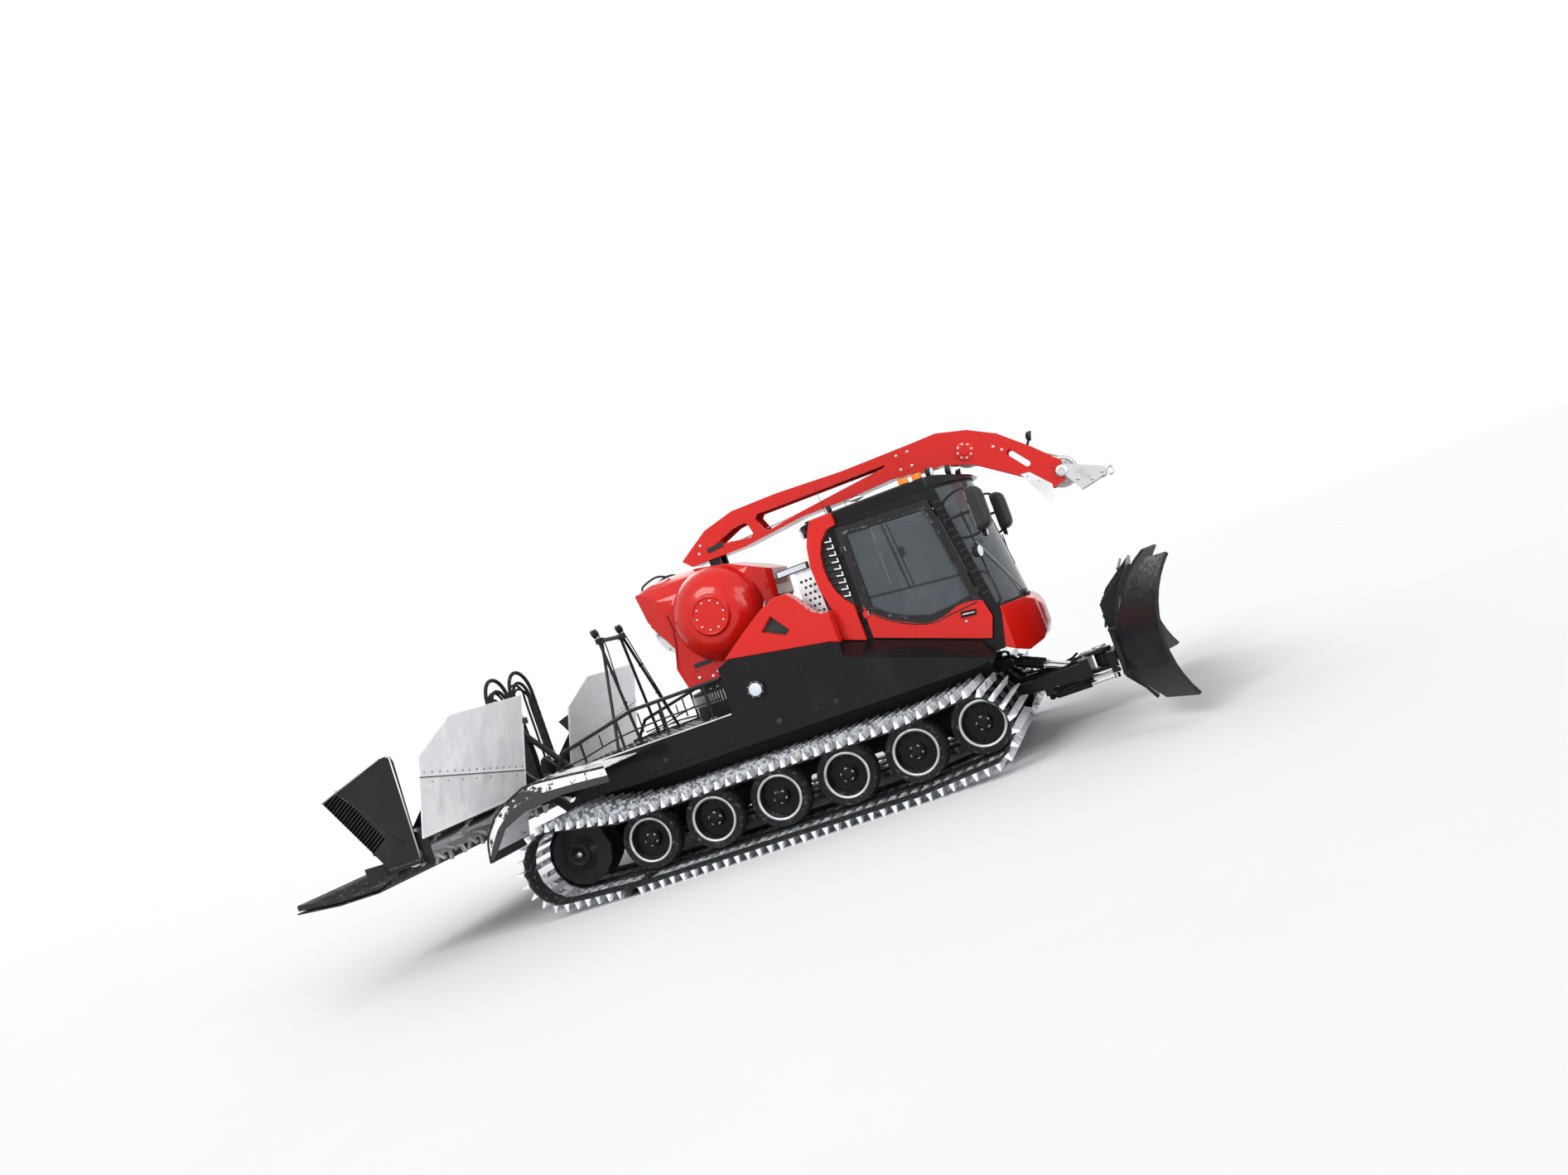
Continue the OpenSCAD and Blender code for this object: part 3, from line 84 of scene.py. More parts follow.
class Look:
    """A procedural material. Plain numbers sit on the sockets, and what varies over the surface is linked."""

    def __init__(self, name, color, **values):
        self.material = bpy.data.materials.new(name)
        self.material.use_nodes = True
        self.tree = self.material.node_tree
        self.shader = self.tree.nodes["Principled BSDF"]
        self.shader.inputs["Base Color"].default_value = (*color, 1)
        for socket, value in values.items():
            self.shader.inputs[socket.replace("_", " ")].default_value = value
        self.place = self.node("TexCoord").outputs["Object"]

    def node(self, kind, inputs=(), **settings):
        made = self.tree.nodes.new("ShaderNode" + kind)
        for key, value in settings.items():
            setattr(made, key, value)
        for key, value in dict(inputs).items():
            if isinstance(value, bpy.types.NodeSocket):
                self.tree.links.new(value, made.inputs[key])
            else:
                made.inputs[key].default_value = value
        return made

    def link(self, socket, value):
        self.tree.links.new(value, self.shader.inputs[socket])

    def stretched(self, scale):
        return self.node("Mapping", {"Vector": self.place, "Scale": scale}).outputs["Vector"]

    def noise(self, scale, detail=4, rough=0.55, stretch=None):
        place = self.stretched(stretch) if stretch else self.place
        made = self.node("TexNoise", {"Vector": place, "Scale": scale, "Detail": detail, "Roughness": rough})
        return made.outputs["Fac"]

    def wave(self, scale, direction, distortion=0.0):
        inputs = {"Vector": self.place, "Scale": scale, "Distortion": distortion}
        return self.node("TexWave", inputs, bands_direction=direction).outputs["Fac"]

    def math(self, operation, a, b=0.0, c=0.0):
        return self.node("Math", {0: a, 1: b, 2: c}, operation=operation).outputs[0]

    def linear(self, value, low, high):
        return self.node("MapRange", {"Value": value, "From Min": low, "From Max": high}).outputs[0]

    def ramp(self, value, low, high, to_low=0.0, to_high=1.0):
        inputs = {"Value": value, "From Min": low, "From Max": high, "To Min": to_low, "To Max": to_high}
        return self.node("MapRange", inputs, interpolation_type="SMOOTHSTEP").outputs[0]

    def times(self, a, b):
        return self.math("MULTIPLY", a, b)

    def mix(self, share, a, b):
        made = self.node("Mix", data_type="RGBA")
        for key, value in ((0, share), (6, a), (7, b)):
            if isinstance(value, bpy.types.NodeSocket):
                self.tree.links.new(value, made.inputs[key])
            else:
                made.inputs[key].default_value = (*value, 1) if isinstance(value, tuple) else value
        return made.outputs[2]

    def bump(self, height, distance, strength=1.0):
        made = self.node("Bump", {"Height": height, "Distance": distance, "Strength": strength})
        self.link("Normal", made.outputs["Normal"])

    def axis(self, name):
        return self.node("SeparateXYZ", {0: self.place}).outputs[name]

    def facing_up(self):
        return self.node("SeparateXYZ", {0: self.node("NewGeometry").outputs["Normal"]}).outputs["Z"]


def painted(look, color, dirt_color, roughness, dirt, snow=0.0):
    """Dulls a paint by patches of dirt and lets frost lie where it faces up."""
    patches = look.ramp(look.noise(2.3, 8, 0.62), 0.46, 0.78)
    grain = look.ramp(look.noise(60, 3), 0.35, 0.75)
    soiled = look.times(patches, look.math("ADD", grain, 0.25))
    shade = look.mix(look.times(soiled, dirt), color, dirt_color)
    if snow:
        lying = look.ramp(look.facing_up(), 0.25, 0.9)
        flakes = look.ramp(look.noise(32, 9, 0.78), 0.4, 0.74)
        drifts = look.ramp(look.noise(1.7, 6, 0.6), 0.34, 0.72, 0.25, 1.6)
        frost = look.times(look.times(lying, flakes), look.times(drifts, snow))
        shade = look.mix(frost, shade, SNOW)
    look.link("Base Color", shade)
    look.link("Roughness", look.ramp(soiled, 0, 1, roughness, roughness + 0.3))
    look.bump(look.noise(220, 2), 0.0006, 0.12)
    return look


def paint_look(name, color, dirt_color, roughness=0.28, coat=0.6, dirt=0.35, snow=0.0, shine=0.1):
    """Sprayed paint under a clear coat."""
    look = Look(name, color, Coat_Weight=coat, Coat_Roughness=0.05, Specular_IOR_Level=shine)
    return painted(look, color, dirt_color, roughness, dirt, snow)


def below_line(look, node, line):
    """One below a line of (x, z) places across a node, and nought above it."""
    low, high = span(node)
    curve = look.node("FloatCurve", {"Value": look.linear(look.axis("X"), low.x + AXLE_X, high.x + AXLE_X)})
    dots = curve.mapping.curves[0].points
    places = [((x - low.x) / (high.x - low.x), (z - low.z) / (high.z - low.z)) for x, z in line]
    dots[0].location, dots[1].location = places[0], places[-1]
    for place in places[1:-1]:
        dots.new(*place)
    curve.mapping.update()
    height = look.math("MULTIPLY_ADD", curve.outputs["Value"], high.z - low.z, low.z)
    return look.math("LESS_THAN", look.axis("Z"), height)


def door_look():
    """Door paint, black round the window and red below its swept edge."""
    look = Look("door_paint", RED, Coat_Weight=0.35, Coat_Roughness=0.05, Specular_IOR_Level=0.2)
    color = look.mix(below_line(look, "door_left", DOOR_EDGE), GLOSS_BLACK, RED)
    return painted(look, color, (0.10, 0.03, 0.03), 0.24, 0.25)


def metal_look(name, color, roughness, scratches=0.5, dirt_color=(0.05, 0.045, 0.04), dirt=0.4, snow=0.0):
    """Bare or plated metal with fine scratches and grime, and snow packed on it in patches."""
    look = Look(name, color)
    lines = look.noise(90, 4, 0.6, (1, 0.12, 1))
    patches = look.ramp(look.noise(5, 7, 0.65), 0.5, 0.75)
    shade = look.mix(look.times(patches, dirt), color, dirt_color)
    worn = look.math("ADD", look.times(lines, 0.3 * scratches), look.times(patches, 0.25))
    if snow:
        packed = look.ramp(look.noise(11, 8, 0.72), 0.62 - 0.25 * snow, 0.66 - 0.2 * snow)
        look.link("Base Color", look.mix(packed, shade, SNOW))
        look.link("Metallic", look.ramp(packed, 0, 1, 1.0, 0.0))
        worn = look.math("MULTIPLY_ADD", packed, 0.4, worn)
        look.bump(packed, 0.004, 0.5)
    else:
        look.shader.inputs["Metallic"].default_value = 1.0
        look.link("Base Color", shade)
        look.bump(lines, 0.0008, 0.25 * scratches)
    look.link("Roughness", look.math("ADD", worn, roughness))
    return look


def rubber_look(name, color=(0.018, 0.018, 0.019), snow=0.35):
    """Dull rubber with a fine grain, dusted with snow in its hollows."""
    look = Look(name, color, Roughness=0.72, Specular_IOR_Level=0.2)
    flakes = look.ramp(look.noise(24, 8, 0.7), 0.55, 0.68)
    look.link("Base Color", look.mix(look.times(flakes, snow), color, (0.62, 0.65, 0.69)))
    look.bump(look.noise(160, 4), 0.002, 0.5)
    return look


def plastic_look(name, color, roughness=0.5, grain=300):
    """Moulded plastic with a leather-like grain."""
    look = Look(name, color, Roughness=roughness, Specular_IOR_Level=0.25)
    dusty = look.ramp(look.noise(3, 6), 0.4, 0.8, 0, 0.25)
    look.link("Base Color", look.mix(dusty, color, (0.12, 0.12, 0.12)))
    look.bump(look.noise(grain, 3), 0.0012, 0.4)
    return look


def glass_look(name, tint):
    """Tinted glass with a faint haze of frost."""
    look = Look(name, tint, IOR=1.45, Alpha=0.7, Roughness=0.03)
    haze = look.ramp(look.noise(3, 3, 0.5), 0.45, 0.8, 0, 0.12)
    look.link("Base Color", look.mix(haze, tint, (0.3, 0.33, 0.35)))
    return look


red_paint = paint_look("red_paint", RED, (0.26, 0.025, 0.02), 0.24, 0.4, 0.2, shine=0.2)
black_paint = paint_look("black_paint", GLOSS_BLACK, (0.035, 0.036, 0.04), 0.24, 0.15, 0.35)
frame_paint = paint_look("frame_paint", STEEL_BLACK, (0.06, 0.056, 0.052), 0.42, 0.1, 0.45, 0.25)
cab_black = paint_look("cab_black", (0.011, 0.011, 0.012), (0.03, 0.03, 0.034), 0.3, 0.12, 0.3)
door_paint = door_look()
bar_metal = metal_look("bar_metal", (0.80, 0.82, 0.85), 0.3, 1.0, (0.35, 0.35, 0.36), 0.4, snow=0.6)
machined = metal_look("machined", (0.55, 0.56, 0.57), 0.32, 0.6)
plated = metal_look("plated", (0.82, 0.82, 0.83), 0.12, 0.2, dirt=0.1)
galvanised = metal_look("galvanised", (0.70, 0.72, 0.73), 0.38, 0.5)
belt_rubber = rubber_look("belt_rubber")
tyre_rubber = rubber_look("tyre_rubber", (0.02, 0.02, 0.021), 0.25)
hose_rubber = rubber_look("hose_rubber", (0.014, 0.014, 0.015), 0.1)
flap_rubber = rubber_look("flap_rubber", (0.02, 0.02, 0.022), 0.3)
dark_plastic = plastic_look("dark_plastic", (0.02, 0.02, 0.022))
grey_plastic = plastic_look("grey_plastic", (0.16, 0.165, 0.17))
white_plastic = plastic_look("white_plastic", (0.82, 0.83, 0.84), 0.35)
cab_glass_look = glass_look("cab_glass", (0.075, 0.09, 0.1))


def frosted_look():
    """White sheet metal of the tiller covers under a crust of snow, thawed and soiled low down."""
    white = (0.90, 0.92, 0.94)
    look = Look("frosted_white", white)
    crust = look.ramp(look.noise(5, 9, 0.68, (1, 1, 0.6)), 0.40, 0.62)
    lumps = look.noise(26, 8, 0.72)
    grime = look.ramp(look.noise(3.2, 8, 0.66, (1, 1, 0.6)), 0.50, 0.72)
    # The pressed crease rises from the inner edge to the outer one
    crease = look.math("MULTIPLY_ADD", look.math("ABSOLUTE", look.axis("Y")), 0.144, 1.353)
    below = look.ramp(look.math("SUBTRACT", look.axis("Z"), crease), 0.01, -0.02)
    thawed = look.times(look.math("ADD", grime, 0.25), look.math("MULTIPLY_ADD", below, 0.55, 0.05))
    crusted = look.mix(crust, (0.82, 0.85, 0.89), white)
    look.link("Base Color", look.mix(thawed, crusted, (0.50, 0.49, 0.42)))
    look.link("Roughness", look.ramp(crust, 0, 1, 0.4, 0.9))
    look.bump(look.math("MULTIPLY_ADD", crust, 0.7, lumps), 0.010, 0.7)
    return look


def fender_look():
    """Guards with a white crown, chipped down to dark patches, above a black cheek."""
    white = (0.83, 0.84, 0.86)
    look = Look("worn_guard", white, Coat_Weight=0.3)
    streaks = look.ramp(look.noise(11, 7, 0.7, (0.5, 1, 1)), 0.58, 0.75, 0, 0.45)
    shade = look.mix(streaks, white, (0.50, 0.51, 0.53))
    # Chips cluster over the bend of the crown
    behind = look.ramp(look.axis("X"), AXLE_X - 0.55, AXLE_X - 0.35)
    ahead = look.ramp(look.axis("X"), AXLE_X + 0.25, AXLE_X)
    near = look.times(behind, ahead)
    chips = look.math("ADD", look.noise(9, 10, 0.74, (1, 0.5, 1)), look.times(near, 0.10))
    bare = look.ramp(chips, 0.585, 0.60)
    cheek = below_line(look, "fenders", CHEEK_LINE)
    look.link("Base Color", look.mix(look.math("MAXIMUM", bare, cheek), shade, CHEEK_BLACK))
    look.link("Roughness", look.ramp(bare, 0, 1, 0.32, 0.65))
    look.bump(look.times(bare, -1.0), 0.003, 0.6)
    return look


def cloth_look(name, color, thread):
    """Woven cloth: two crossing sets of threads over a soft sheen."""
    look = Look(name, color, Roughness=0.85, Sheen_Weight=0.35, Sheen_Roughness=0.4)
    weave = look.times(look.wave(190, "Y", 0.4), look.wave(190, "Z", 0.4))
    worn = look.ramp(look.noise(6, 6), 0.45, 0.8, 0, 0.5)
    look.link("Base Color", look.mix(look.math("ADD", weave, worn), color, thread))
    look.bump(weave, 0.0015, 0.6)
    return look


def glow_look(name, color, glow, strength):
    """A lit lens with a fine prism pattern."""
    look = Look(name, color, Roughness=0.12, Emission_Strength=strength)
    look.shader.inputs["Emission Color"].default_value = (*glow, 1)
    prisms = look.wave(60, "X")
    look.link("Base Color", look.mix(prisms, color, tuple(0.6 * c for c in color)))
    look.bump(prisms, 0.0015, 0.5)
    return look


frosted_white = frosted_look()
rope_look = metal_look("rope_steel", (0.62, 0.62, 0.61), 0.35, 1.0, dirt=0.3)
seat_cloth = cloth_look("seat_cloth", (0.045, 0.047, 0.052), (0.10, 0.105, 0.115))
seat_edge = cloth_look("seat_edge", (0.30, 0.02, 0.02), (0.42, 0.04, 0.035))
screen_glow = glow_look("screen_glow", (0.05, 0.10, 0.14), (0.10, 0.22, 0.30), 0.6)
worn_guard = fender_look()
lamp_white = glow_look("lamp_white", (0.42, 0.46, 0.52), (0.86, 0.93, 1.0), 0.42)
lamp_amber = glow_look("lamp_amber", (0.85, 0.20, 0.01), (1.0, 0.26, 0.01), 0.45)

NODE_LOOKS = [
    (frame_paint, "chassis_hull engine_block rear_deck deck_rails rear_bracket winch_base winch_frame"),
    (frame_paint, "push_frame blade_carrier blade blade_wing_left blade_wing_right lift_barrels"),
    (frame_paint, "angle_barrel_left angle_barrel_right tiller_arms tiller_barrels tiller_link tiller_frame"),
    (frame_paint, "side_wing_left side_wing_right sprockets rims"),
    (black_paint, "side_bodies cab_roof"),
    (cab_black, "cab_shell"),
    (red_paint, "fairings cab_pillars nose winch_cover boom"),
    (door_paint, "door_left door_right"),
    (bar_metal, "track_left track_right"),
    (tyre_rubber, "tyres"),
    (worn_guard, "fenders"),
    (frosted_white, "tiller_covers"),
    (machined, "winch_drum bend_sheave tip_sheave rope_head rotor_left rotor_right"),
    (plated, "lift_rods angle_rod_left angle_rod_right tiller_rods"),
    (dark_plastic, "cab_console seats mirrors lamps louvres"),
    (cab_glass_look, "cab_glass door_left_glass door_right_glass"),
    (hose_rubber, "hoses"),
    (flap_rubber, "finisher"),
]
for look, names in NODE_LOOKS:
    for name in names.split():
        slots = nodes[name].data.materials
        slots.clear()
        slots.append(look.material)


def islands(mesh):
    """Faces of each loose part of a mesh, grouped by the corners that share a place."""
    corner = {}
    root = list(range(len(mesh.vertices)))

    def top(i):
        while root[i] != i:
            root[i] = root[root[i]]
            i = root[i]
        return i

    for v in mesh.vertices:
        key = tuple(round(c, 5) for c in v.co)
        root[v.index] = corner.setdefault(key, v.index)
    for face in mesh.polygons:
        first = top(face.vertices[0])
        for i in face.vertices[1:]:
            root[top(i)] = first
    found = {}
    for face in mesh.polygons:
        found.setdefault(top(face.vertices[0]), []).append(face)
    return list(found.values())


def loose_parts(mesh):
    """The faces, places, lowest and highest corner of each loose part of a mesh."""
    for faces in islands(mesh):
        places = [mesh.vertices[i].co for face in faces for i in face.vertices]
        yield faces, places, Vector(map(min, zip(*places))), Vector(map(max, zip(*places)))


def part_paint(name, look, test):
    """Gives a second material to the loose parts of a node whose lowest and highest corner pass a test."""
    mesh = nodes[name].data
    mesh.materials.append(look.material)
    for faces, _, low, high in loose_parts(mesh):
        if test(low, high):
            for face in faces:
                face.material_index = len(mesh.materials) - 1


for name in ("track_left", "track_right"):
    part_paint(name, belt_rubber, lambda low, high: high.x - low.x > 1)
part_paint("lamps", lamp_amber, lambda low, high: low.z > 2.7)
part_paint("sprockets", machined, lambda low, high: high.x - low.x < 0.45)

# Mesh pieces

ACROSS, UP = Vector((0, 1, 0)), Vector((0, 0, 1))


def spoke(angle, other=UP):
    """A unit step away from an axis: ahead at no angle, and other at a quarter turn."""
    return Vector((math.cos(angle), 0, 0)) + math.sin(angle) * other


def scaled(profile, size):
    """A profile of (radius, height) made larger or smaller."""
    return [(size * r, size * h) for r, h in profile]


def prism_loops(n):
    """The faces between two outlines of n corners each."""
    sides = [(i, (i + 1) % n, n + (i + 1) % n, n + i) for i in range(n)]
    return [tuple(range(n)), tuple(range(2 * n - 1, n - 1, -1)), *sides]


class Part:
    """A mesh of rods, plates, tubes and turned forms, with x counted from the sprocket axle."""

    def __init__(self, name, body, *looks):
        self.name, self.body, self.looks = name, body, looks
        self.mesh = bmesh.new()

    def faces(self, corners, loops, look, smooth=False):
        """Adds corners and the faces between them, in one of the part's looks."""
        made = [self.mesh.verts.new(c) for c in corners]
        slot = self.looks.index(look)
        for loop in loops:
            face = self.mesh.faces.new([made[i] for i in loop])
            face.material_index, face.smooth = slot, smooth

    def block(self, low, high, look):
        """A box between two corners."""
        xs, ys, zs = zip(low, high)
        corners = [(x, y, z) for x in xs for y in ys for z in zs]
        sides = [(0, 1, 3, 2), (4, 6, 7, 5), (0, 4, 5, 1), (2, 3, 7, 6), (0, 2, 6, 4), (1, 5, 7, 3)]
        self.faces(corners, sides, look)

    def sheet(self, outline, y0, y1, look):
        """A side outline of (x, z) pulled from y0 to y1."""
        corners = [(x, y, z) for y in (y0, y1) for x, z in outline]
        self.faces(corners, prism_loops(len(outline)), look)

    def turned(self, centre, axis, profile, look, sides=24):
        """A form turned round an axis, from (radius, distance along the axis) pairs."""
        along = Vector(axis).normalized()
        across = along.orthogonal().normalized()
        rings = []
        for r, h in profile:
            middle = Vector(centre) + along * h
            rings.append(circle(middle, r, across, along.cross(across), sides) if r else [middle])
        corners = [v for ring in rings for v in ring]
        starts = [sum(len(r) for r in rings[:i]) for i in range(len(rings))]
        loops = []
        for a, b, first, second in zip(rings, rings[1:], starts, starts[1:]):
            for k in range(sides):
                j = (k + 1) % sides
                if len(a) == 1 and len(b) > 1:
                    loops.append((first, second + j, second + k))
                elif len(b) == 1 and len(a) > 1:
                    loops.append((first + k, first + j, second))
                elif len(a) > 1:
                    loops.append((first + k, first + j, second + j, second + k))
        self.faces(corners, loops, look, True)

    def rod(self, p, q, r, look, sides=12, tip=None):
        """A straight rod from p to q, with another radius at q where tip is given."""
        p, q = Vector(p), Vector(q)
        length = (q - p).length
        self.turned(p, q - p, [(0, 0), (r, 0), (r if tip is None else tip, length), (0, length)], look, sides)

    def tube(self, line, r, look, sides=8):
        """A round tube along a line of places, with closed ends."""
        line = [Vector(p) for p in line]
        across = (line[1] - line[0]).orthogonal().normalized()
        corners = []
        for i, p in enumerate(line):
            along = (line[min(i + 1, len(line) - 1)] - line[max(i - 1, 0)]).normalized()
            across = (across - along * across.dot(along)).normalized()
            corners += circle(p, r, across, along.cross(across), sides)
        loops = [tuple(range(sides))[::-1], tuple(range(len(corners) - sides, len(corners)))]
        for i in range(len(line) - 1):
            for k in range(sides):
                a, b = i * sides + k, i * sides + (k + 1) % sides
                loops.append((a, b, b + sides, a + sides))
        self.faces(corners, loops, look, True)

    def panel(self, outline, origin, u, v, thick, look):
        """An outline of (along u, along v) made thick along u x v."""
        origin, u, v = Vector(origin), Vector(u).normalized(), Vector(v).normalized()
        rim = [origin + a * u + b * v for a, b in outline]
        self.faces([*rim, *(p + thick * u.cross(v) for p in rim)], prism_loops(len(rim)), look)

    def bar(self, p, q, width, depth, look):
        """A flat bar from p to q."""
        p, q = Vector(p), Vector(q)
        along = (q - p).normalized()
        across = along.cross(ACROSS)
        across = across.normalized() if across.length > 0.3 else UP
        length, half = (q - p).length, width / 2
        outline = [(0, -half), (length, -half), (length, half), (0, half)]
        self.panel(outline, p - along.cross(across) * depth / 2, along, across, depth, look)

    def rim(self, outline, width, y0, y1, look):
        """A flat frame along the inside of a side outline."""
        n = len(outline)
        corners = [(a, y, b) for y in (y0, y1) for line in (outline, inset(outline, width)) for a, b in line]
        loops = []
        for i in range(n):
            j = (i + 1) % n
            loops += [(i, j, n + j, n + i), (2 * n + i, 3 * n + i, 3 * n + j, 2 * n + j)]
            loops += [(i, 2 * n + i, 2 * n + j, j), (n + i, n + j, 3 * n + j, 3 * n + i)]
        self.faces(corners, loops, look)

    def loft(self, rings, look):
        """A closed skin over rings of equally many places."""
        n = len(rings[0])
        loops = [tuple(range(n)), tuple(range(len(rings) * n - 1, (len(rings) - 1) * n - 1, -1))]
        for i in range(len(rings) - 1):
            for k in range(n):
                j = (k + 1) % n
                loops.append((i * n + k, i * n + j, (i + 1) * n + j, (i + 1) * n + k))
        self.faces([p for ring in rings for p in ring], loops, look, True)

    def hose(self, points, r, look, sides=8, steps=6):
        """A tube through a few points, with its corners rounded."""
        self.tube(smooth_line(points, steps), r, look, sides)

    def flip(self):
        """Moves everything to the other side of the machine."""
        for v in self.mesh.verts:
            v.co.y = -v.co.y

    def bolt(self, place, axis, size, look):
        """A hexagon head on its washer."""
        profile = [(1.5, 0), (1.5, 0.2), (1, 0.2), (1, 0.9), (0.8, 1), (0, 1)]
        self.turned(place, axis, scaled(profile, size), look, 6)

    def bolt_ring(self, centre, axis, radius, count, size, look, start=0.0):
        """Bolts spread round an axis that points across the machine or up."""
        other = UP if axis[1] else ACROSS
        for k in range(count):
            step = spoke(start + 2 * math.pi * k / count, other)
            self.bolt(Vector(centre) + radius * step, axis, size, look)

    def mirrored(self):
        """Adds the same forms on the other side of the machine."""
        everything = self.mesh.verts[:] + self.mesh.edges[:] + self.mesh.faces[:]
        made = bmesh.ops.duplicate(self.mesh, geom=everything)
        verts = [g for g in made["geom"] if isinstance(g, bmesh.types.BMVert)]
        faces = [g for g in made["geom"] if isinstance(g, bmesh.types.BMFace)]
        for v in verts:
            v.co.y = -v.co.y
        bmesh.ops.reverse_faces(self.mesh, faces=faces)
        return self

    def done(self, bevel=0.0):
        """Makes the mesh an object with its looks, rounds its edges and lets it ride on its body."""
        bmesh.ops.recalc_face_normals(self.mesh, faces=self.mesh.faces[:])
        bmesh.ops.translate(self.mesh, verts=self.mesh.verts[:], vec=(AXLE_X, 0, 0))
        data = bpy.data.meshes.new(self.name)
        self.mesh.to_mesh(data)
        self.mesh.free()
        made = bpy.data.objects.new(self.name, data)
        for look in self.looks:
            data.materials.append(look.material)
        bpy.context.scene.collection.objects.link(made)
        if bevel:
            round_edges(made, bevel)
        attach(made, self.body)
        return made


def round_edges(piece, width):
    """Rounds the sharp edges of a piece or node and shades it smooth between them."""
    weld = piece.modifiers.new("weld", "WELD")
    weld.merge_threshold = 0.00002
    bevel = piece.modifiers.new("bevel", "BEVEL")
    bevel.width, bevel.segments = width, 2
    bevel.limit_method, bevel.angle_limit = "ANGLE", math.radians(35)
    bevel.harden_normals = True
    piece.data.polygons.foreach_set("use_smooth", [True] * len(piece.data.polygons))
    weighted = piece.modifiers.new("weighted", "WEIGHTED_NORMAL")
    weighted.keep_sharp = True


def circle(centre, r, across, other, sides):
    """Places round a centre, from across towards other."""
    turns = [2 * math.pi * k / sides for k in range(sides)]
    return [centre + r * (math.cos(t) * across + math.sin(t) * other) for t in turns]


def smooth_line(points, steps=6):
    """A line through the points with rounded corners, as a Catmull-Rom curve."""
    points = [Vector(p) for p in points]
    ends = [2 * points[0] - points[1], *points, 2 * points[-1] - points[-2]]
    line = []
    for a, b, c, d in zip(ends, ends[1:], ends[2:], ends[3:]):
        for k in range(steps):
            t = k / steps
            bend, twist = 2 * a - 5 * b + 4 * c - d, 3 * b - a - 3 * c + d
            line.append(0.5 * (2 * b + (c - a) * t + bend * t * t + twist * t ** 3))
    return [*line, points[-1]]


def both(y):
    """The same distance to the left and to the right."""
    return (y, -y)


def inset(outline, d):
    """A counter-clockwise outline pulled in by d."""
    points = [Vector(p) for p in outline]
    made = []
    for a, b, c in zip([points[-1], *points], points, [*points[1:], points[0]]):
        p, q = (b - a).normalized(), (c - b).normalized()
        n, m = Vector((-p.y, p.x)), Vector((-q.y, q.x))
        made.append(b + d * (n + m) / (1 + n.dot(m)))
    return made


for width, names in (
    (0.006, "boom winch_cover fairings cab_pillars nose side_bodies cab_shell cab_roof tiller_covers"),
    (0.004, "door_left door_right fenders side_wing_left side_wing_right"),
    (0.004, "blade blade_wing_left blade_wing_right"),
):
    for name in names.split():
        round_edges(nodes[name], width)

# Small parts

WHEELS = [(0.71 + 0.70 * i, 0.385) for i in range(5)] + [(4.19, 0.445)]
AXLE_Z, TRACK_Y = 0.48, 1.375
BODY_SIDE, CAB_SIDE, DOOR_FACE, RAIL_Y = 1.25, 0.93, 0.975, 1.175
DECK_Z, ROOF_TOP = 1.27, 2.80
SLEW_X, SEAT_Y = 1.65, 0.40
DRUM, BEND, TIP = Vector((1.33, 0, 2.30)), Vector((4.77, 0, 2.96)), Vector((5.595, 0, 2.43))


def wheel_trim():
    """Bright rim flanges and hubs with five bolted lobes on the road wheels and idlers."""
    trim = Part("wheel_trim", "vehicle", galvanised, frame_paint, machined)
    flange = [(0.196, 0.094), (0.199, 0.1035), (0.212, 0.107), (0.225, 0.1045), (0.225, 0.1032)]
    cap = [(0.06, 0.0621), (0.056, 0.082), (0.03, 0.088), (0, 0.088)]
    for x, z in WHEELS:
        middle = Vector((x, TRACK_Y, z))
        trim.turned(middle, ACROSS, flange, galvanised, 40)
        trim.turned(middle, ACROSS, cap, frame_paint, 20)
        hub = middle + 0.066 * ACROSS
        for k in range(5):
            lobe = spoke(2 * math.pi * k / 5 + x)
            trim.bar(hub + 0.02 * lobe, hub + 0.072 * lobe, 0.034, 0.010, frame_paint)
            trim.bolt(hub + 0.056 * lobe + 0.005 * ACROSS, ACROSS, 0.011, machined)
        trim.bolt_ring(middle + 0.0001 * ACROSS, ACROSS, 0.165, 10, 0.009, frame_paint)
    trim.mirrored().done()


def sprocket_trim():
    """Dished covers with a pin, and bolted collars, on the final drives."""
    trim = Part("sprocket_trim", "vehicle", machined, frame_paint)
    place = Vector((0, TRACK_Y + 0.21, AXLE_Z))
    dish = [
        (0.119, -0.002), (0.119, 0.03), (0.108, 0.045), (0.082, 0.045),
        (0.072, 0.03), (0.070, 0.002), (0, 0.002),
    ]
    trim.turned(place, ACROSS, dish, frame_paint, 40)
    trim.turned(place, ACROSS, [(0.030, 0.0), (0.030, 0.020), (0.02, 0.026), (0, 0.026)], machined, 24)
    collar = [(0.201, -0.02), (0.206, -0.01), (0.206, 0.004), (0.196, 0.010)]
    trim.turned(place - 0.06 * ACROSS, ACROSS, collar, machined, 48)
    for k in range(10):
        away = spoke(math.pi * k / 5)
        trim.bolt(place - 0.027 * ACROSS + 0.155 * away, ACROSS + 0.5 * away, 0.009, frame_paint)
    trim.mirrored().done()


